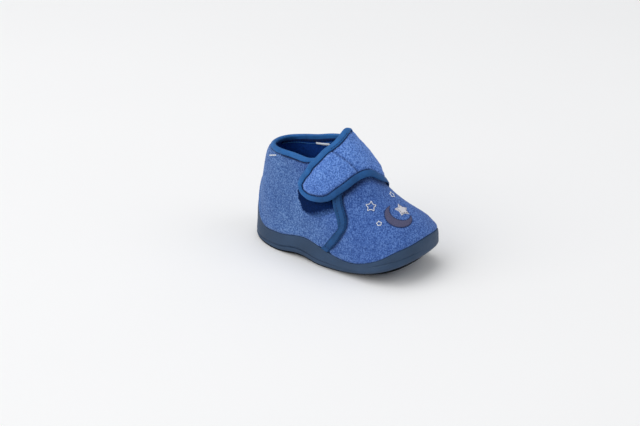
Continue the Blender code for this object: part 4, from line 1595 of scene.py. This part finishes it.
def chart(centre, right, up):
    """Places on the last at moves to the right and up the vamp from a centre, in metres."""
    around = np.full(np.shape(right), centre[0])
    level = np.full(np.shape(right), centre[1])
    by_round, by_level = slopes(np.array([centre[0]]), np.array([centre[1]]))
    aside = unit(by_round)[0]
    above = unit(by_level - (by_level @ aside)[:, None] * aside)[0]
    moves = np.asarray(right)[..., None] * aside + np.asarray(up)[..., None] * above
    for _ in range(CHART_STEPS):
        around, level = along_surface(around, level, moves / CHART_STEPS)
    return around, level


def star_path(radius, turn, dip):
    """The corners of a five-pointed star, the first repeated at the end."""
    angle = np.linspace(0, 2 * np.pi, STAR_CORNERS + 1) + turn
    reach = radius * np.where(np.arange(STAR_CORNERS + 1) % 2 == 0, 1.0, dip)
    return reach * np.sin(angle), reach * np.cos(angle)


def refined(path, count):
    """A path with more points between its corners."""
    index = np.linspace(0, len(path[0]) - 1, (len(path[0]) - 1) * count + 1)
    base = np.arange(len(path[0]))
    return tuple(np.interp(index, base, values) for values in path)


MOON_CENTRE = (0.470, 0.500)
MOON_BITE = 0.80
MOON_SHIFT = 0.48
MOON_TURN = math.radians(35)
MOON_POINTS = 70
FELT_ROWS = 13
FELT_GRAIN = 0.8 * MM
FELT_FUZZ = 0.10 * MM
FELT_SUNK = 0.5 * MM
FELT_POINT = 0.05 * MM
FELT_HEIGHT = 0.60 * MM
FELT_RIM = 0.35
FELT_DOME = 0.85
FELT_STAR_DIP = 0.58
THREAD_STAR_DIP = 0.48
THREAD_STAR_OUT = 0.30 * MM
FELT_STAR = ((0.506, 0.520), 6.2 * MM, 0.35)
ThreadStar = namedtuple("ThreadStar", "round level radius turn")
THREAD_STARS = (
    ThreadStar(0.410, 0.590, 4.3 * MM, 0.2),
    ThreadStar(0.535, 0.610, 2.9 * MM, 0.5),
    ThreadStar(0.392, 0.492, 2.3 * MM, 0.0),
)


def moon_edges(radius, count):
    """The crescent's outer and inner edges, from horn to horn."""
    bite = radius * MOON_BITE
    shift = radius * MOON_SHIFT
    meet_x = (radius**2 - bite**2 + shift**2) / (2 * shift)
    outer_angle = math.acos(meet_x / radius)
    inner_angle = math.acos((meet_x - shift) / bite)
    turn = np.linspace(outer_angle, 2 * np.pi - outer_angle, count)
    outer = (radius * np.cos(turn), radius * np.sin(turn))
    turn = np.linspace(inner_angle, 2 * np.pi - inner_angle, count)
    inner = (shift + bite * np.cos(turn), bite * np.sin(turn))
    cosine, sine = math.cos(MOON_TURN), math.sin(MOON_TURN)
    return [(x * cosine - y * sine, x * sine + y * cosine) for x, y in (outer, inner)]


def felt(name, centre, first, second, finish, crown):
    """A felt shape between two paths, lying on the fleece. A path that is a mere point has no rim."""
    share = np.linspace(0, 1, FELT_ROWS)[:, None]
    right = first[0] + (second[0] - first[0]) * share
    up = first[1] + (second[1] - first[1]) * share
    around, level = chart(centre, right, up)
    base = last(around, level)
    top = skin(around, level, crown(share) + FELT_FUZZ * tufts(base, FELT_GRAIN))
    bottom = skin(around, level, -FELT_SUNK)
    shape = bmesh.new()
    sheet(shape, top)
    sheet(shape, bottom)
    for rim in (0, -1):
        if np.ptp(top[rim], axis=0).max() > FELT_POINT:
            sheet(shape, [top[rim], bottom[rim]])
    return piece(name, shape, finish)


def sewn(shape, centre, path, out, pitch, length, width):
    """Stitches along a path on the vamp."""
    around, level = chart(centre, *path)
    stitch_row(shape, around, level, out, pitch, length, width)


class SLIPPER_OT_applique(bpy.types.Operator):
    """Builds the felt moon and star and the embroidered stars on the vamp"""

    bl_idname = "slipper.applique"
    bl_label = "Moon and stars"

    def execute(self, context):
        sizes = context.scene.slipper_sizes
        colours = context.scene.slipper_colours

        def rounded(share):
            return FELT_HEIGHT * (FELT_RIM + (1 - FELT_RIM) * (1 - np.abs(2 * share - 1) ** 5))

        def domed(share):
            return FELT_HEIGHT * (FELT_RIM + FELT_DOME * (1 - share**6))

        outer, inner = moon_edges(sizes.moon_radius, MOON_POINTS)
        moon_felt = cloth_finish("moon_felt", colours.felt, FELT_GRAIN, 0.25 * MM)
        felt("felt_moon", MOON_CENTRE, outer, inner, moon_felt, rounded)
        centre, radius, turn = FELT_STAR
        rim = refined(star_path(radius, turn, FELT_STAR_DIP), 8)
        hub = tuple(values * 0.02 for values in rim)
        star_felt = cloth_finish("star_felt", colours.pale_felt, FELT_GRAIN, 0.25 * MM, 0.12)
        felt("felt_star", centre, hub, rim, star_felt, domed)
        dark = bmesh.new()
        pitch, width = sizes.stitch_pitch * 0.85, sizes.thread_width
        edge = (np.concatenate([outer[0], inner[0][::-1]]), np.concatenate([outer[1], inner[1][::-1]]))
        sewn(dark, MOON_CENTRE, edge, FELT_HEIGHT * 0.45, pitch, pitch * 0.95, width * 1.1)
        inset = tuple(values * 0.80 for values in rim)
        sewn(dark, centre, inset, FELT_HEIGHT * 1.2, pitch, pitch * 0.6, width * 0.8)
        piece("moon_stitches", dark, thread_finish("outline_thread", colours.dark_thread))
        white = bmesh.new()
        for star in THREAD_STARS:
            path = refined(star_path(star.radius, star.turn, THREAD_STAR_DIP), 6)
            sewing = THREAD_STAR_OUT, pitch * 0.6, pitch * 0.72, width * 1.25
            sewn(white, (star.round, star.level), path, *sewing)
        piece("thread_stars", white, thread_finish("white_thread", colours.white_thread))
        return {"FINISHED"}


TACK_START = (0.099, 0.796)
TACK_END = (0.141, 0.870)
TACK_ASIDES = (-0.25 * MM, 0.25 * MM)
TACK_SEWING = (LAP_HEIGHT + 0.15 * MM, 2.4 * MM, 2.6 * MM)
LABEL_ROUNDS = (0.768, 0.810)
LABEL_LEVELS = (0.876, 0.852)
LABEL_COLUMNS = 24
LABEL_ROWS = 9
LABEL_FOLD = 0.3 * MM
LABEL_FACES = (-UPPER_WALL - 0.7 * MM, -UPPER_WALL - 0.1 * MM)


class SLIPPER_OT_small_trims(bpy.types.Operator):
    """Adds the white tack on the outer quarter and the blank label inside the collar"""

    bl_idname = "slipper.small_trims"
    bl_label = "Tack and label"

    def execute(self, context):
        sizes = context.scene.slipper_sizes
        thread = context.scene.slipper_colours.white_thread
        shape = bmesh.new()
        share = np.linspace(0, 1, 12)
        around = TACK_START[0] + (TACK_END[0] - TACK_START[0]) * share
        level = TACK_START[1] + (TACK_END[1] - TACK_START[1]) * share
        for aside in TACK_ASIDES:
            stitch_row(shape, *walk(around, level, aside), *TACK_SEWING, sizes.thread_width)
        piece("white_tack", shape, thread_finish("tack_thread", thread))
        place = np.meshgrid(np.linspace(*LABEL_ROUNDS, LABEL_COLUMNS), np.linspace(*LABEL_LEVELS, LABEL_ROWS))
        fold = LABEL_FOLD * np.sin(np.linspace(0, np.pi, LABEL_ROWS))[:, None]
        top, bottom = skin(*place, LABEL_FACES[0] - fold), skin(*place, LABEL_FACES[1])
        shape = bmesh.new()
        sheet(shape, top)
        sheet(shape, bottom)
        for rim in (np.s_[0], np.s_[-1], np.s_[:, 0], np.s_[:, -1]):
            sheet(shape, [top[rim], bottom[rim]])
        label = cloth_finish("label_white", thread, 0.5 * MM, 0.08 * MM, 0.06)
        piece("blank_label", shape, label)
        return {"FINISHED"}


# The studio

VIEW_AZIMUTH = math.radians(37.7)
VIEW_ELEVATION = math.radians(25.3)
VIEW_DISTANCE = 1.0
VIEW_FOCAL = 1329.0
VIEW_SIZE = (640.0, 426.0)
VIEW_AIM = (0.0, 0.0, 40.0 * MM)
VIEW_AIM_PIXEL = (339.5, 201.6)
SENSOR = 36.0
CLIP = (0.01, 50.0)
FLOOR_SIZE = 4.0
FLOOR_GRAIN = 0.3
AMBIENT_COLOUR = (0.95, 0.97, 1.0, 1.0)
AMBIENT_STRENGTH = 0.48
LAMP_AIM = (0.0, 0.0, 40.0 * MM)

Lamp = namedtuple("Lamp", "name right back up size power")
LAMPS = (
    Lamp("left_softbox", -1.90, 0.80, 1.80, 3.3, 38.5),
    Lamp("right_softbox", 2.00, 0.50, 2.00, 1.9, 9.0),
    Lamp("top_softbox", -0.30, -0.70, 2.90, 2.4, 22.0),
)


class SLIPPER_OT_stage(bpy.types.Operator):
    """Sets the floor, the soft lights and the camera"""

    bl_idname = "slipper.stage"
    bl_label = "Stage"

    def execute(self, context):
        back = Vector(
            (
                math.sin(VIEW_AZIMUTH) * math.cos(VIEW_ELEVATION),
                -math.cos(VIEW_AZIMUTH) * math.cos(VIEW_ELEVATION),
                math.sin(VIEW_ELEVATION),
            )
        )
        right = Vector((math.cos(VIEW_AZIMUTH), math.sin(VIEW_AZIMUTH), 0.0))
        up = back.cross(right)
        self.camera(back, right, up)
        self.floor(context)
        self.lamps(back, right)
        world = context.scene.world or bpy.data.worlds.new("studio")
        context.scene.world = world
        world.use_nodes = True
        ambient = world.node_tree.nodes["Background"]
        ambient.inputs["Color"].default_value = AMBIENT_COLOUR
        ambient.inputs["Strength"].default_value = AMBIENT_STRENGTH
        context.scene.view_settings.view_transform = "Standard"
        return {"FINISHED"}

    def camera(self, back, right, up):
        across = (VIEW_AIM_PIXEL[0] - VIEW_SIZE[0] / 2) / VIEW_FOCAL
        down = (VIEW_AIM_PIXEL[1] - VIEW_SIZE[1] / 2) / VIEW_FOCAL
        ray = -back + right * across - up * down
        data = bpy.data.cameras.new("camera")
        data.sensor_width = SENSOR
        data.lens = VIEW_FOCAL / VIEW_SIZE[0] * SENSOR
        data.clip_start, data.clip_end = CLIP
        made = bpy.data.objects.new("camera", data)
        eye = Vector(VIEW_AIM) - Vector(CENTRE) - ray * VIEW_DISTANCE
        turn = Matrix((right, up, back)).transposed().to_4x4()
        made.matrix_world = Matrix.Translation(eye) @ turn
        bpy.context.scene.collection.objects.link(made)
        bpy.context.scene.camera = made

    def floor(self, context):
        shape = bmesh.new()
        bmesh.ops.create_grid(shape, x_segments=8, y_segments=8, size=FLOOR_SIZE)
        mesh = bpy.data.meshes.new("floor")
        shape.to_mesh(mesh)
        shape.free()
        made = bpy.data.objects.new("floor", mesh)
        bpy.context.scene.collection.objects.link(made)
        look = Nodes("floor_paper")
        grain = look.noise(FLOOR_GRAIN)
        look.paint(look.tones(grain, context.scene.slipper_colours.floor, (0.3, 0.99), (0.7, 1.0)))
        look.set(Roughness=0.85, Specular_IOR_Level=0.2)
        mesh.materials.append(look.material)
        made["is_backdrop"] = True

    def lamps(self, back, right):
        flat_back = Vector((back.x, back.y, 0.0)).normalized()
        middle = Vector(LAMP_AIM)
        for lamp in LAMPS:
            data = bpy.data.lights.new(lamp.name, "AREA")
            data.shape = "DISK"
            data.size = lamp.size
            data.energy = lamp.power
            made = bpy.data.objects.new(lamp.name, data)
            made.location = right * lamp.right + flat_back * lamp.back + Vector((0.0, 0.0, lamp.up))
            made.rotation_euler = (middle - made.location).to_track_quat("-Z", "Y").to_euler()
            bpy.context.scene.collection.objects.link(made)


OPERATORS = (
    SLIPPER_OT_sole,
    SLIPPER_OT_inside,
    SLIPPER_OT_upper,
    SLIPPER_OT_strap,
    SLIPPER_OT_bindings,
    SLIPPER_OT_loop_patch,
    SLIPPER_OT_stitches,
    SLIPPER_OT_applique,
    SLIPPER_OT_small_trims,
    SLIPPER_OT_stage,
)


class SLIPPER_PT_pieces(bpy.types.Panel):
    """Lists the slipper's pieces, sizes and colours"""

    bl_idname = "SLIPPER_PT_pieces"
    bl_label = "Slipper"
    bl_space_type = "VIEW_3D"
    bl_region_type = "UI"
    bl_category = "Slipper"

    def draw(self, context):
        for group in (context.scene.slipper_sizes, context.scene.slipper_colours):
            box = self.layout.box()
            for name in group.__annotations__:
                box.prop(group, name)
        for operator in OPERATORS:
            self.layout.operator(operator.bl_idname)


CLASSES = (SlipperSizes, SlipperColours, *OPERATORS, SLIPPER_PT_pieces)


def register():
    for each in CLASSES:
        bpy.utils.register_class(each)
    bpy.types.Scene.slipper_sizes = PointerProperty(type=SlipperSizes)
    bpy.types.Scene.slipper_colours = PointerProperty(type=SlipperColours)


def unregister():
    del bpy.types.Scene.slipper_colours
    del bpy.types.Scene.slipper_sizes
    for each in reversed(CLASSES):
        bpy.utils.unregister_class(each)


def main():
    register()
    bpy.ops.slipper.stage()
    bpy.ops.slipper.sole()
    bpy.ops.slipper.inside()
    bpy.ops.slipper.upper()
    bpy.ops.slipper.strap()
    bpy.ops.slipper.bindings()
    bpy.ops.slipper.loop_patch()
    bpy.ops.slipper.stitches()
    bpy.ops.slipper.applique()
    bpy.ops.slipper.small_trims()
    boxes = {"cad": CAD_BOX, "visual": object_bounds()}
    {name: [list(corner) for corner in corners] for name, corners in boxes.items()}


if __name__ == "__main__":
    main()
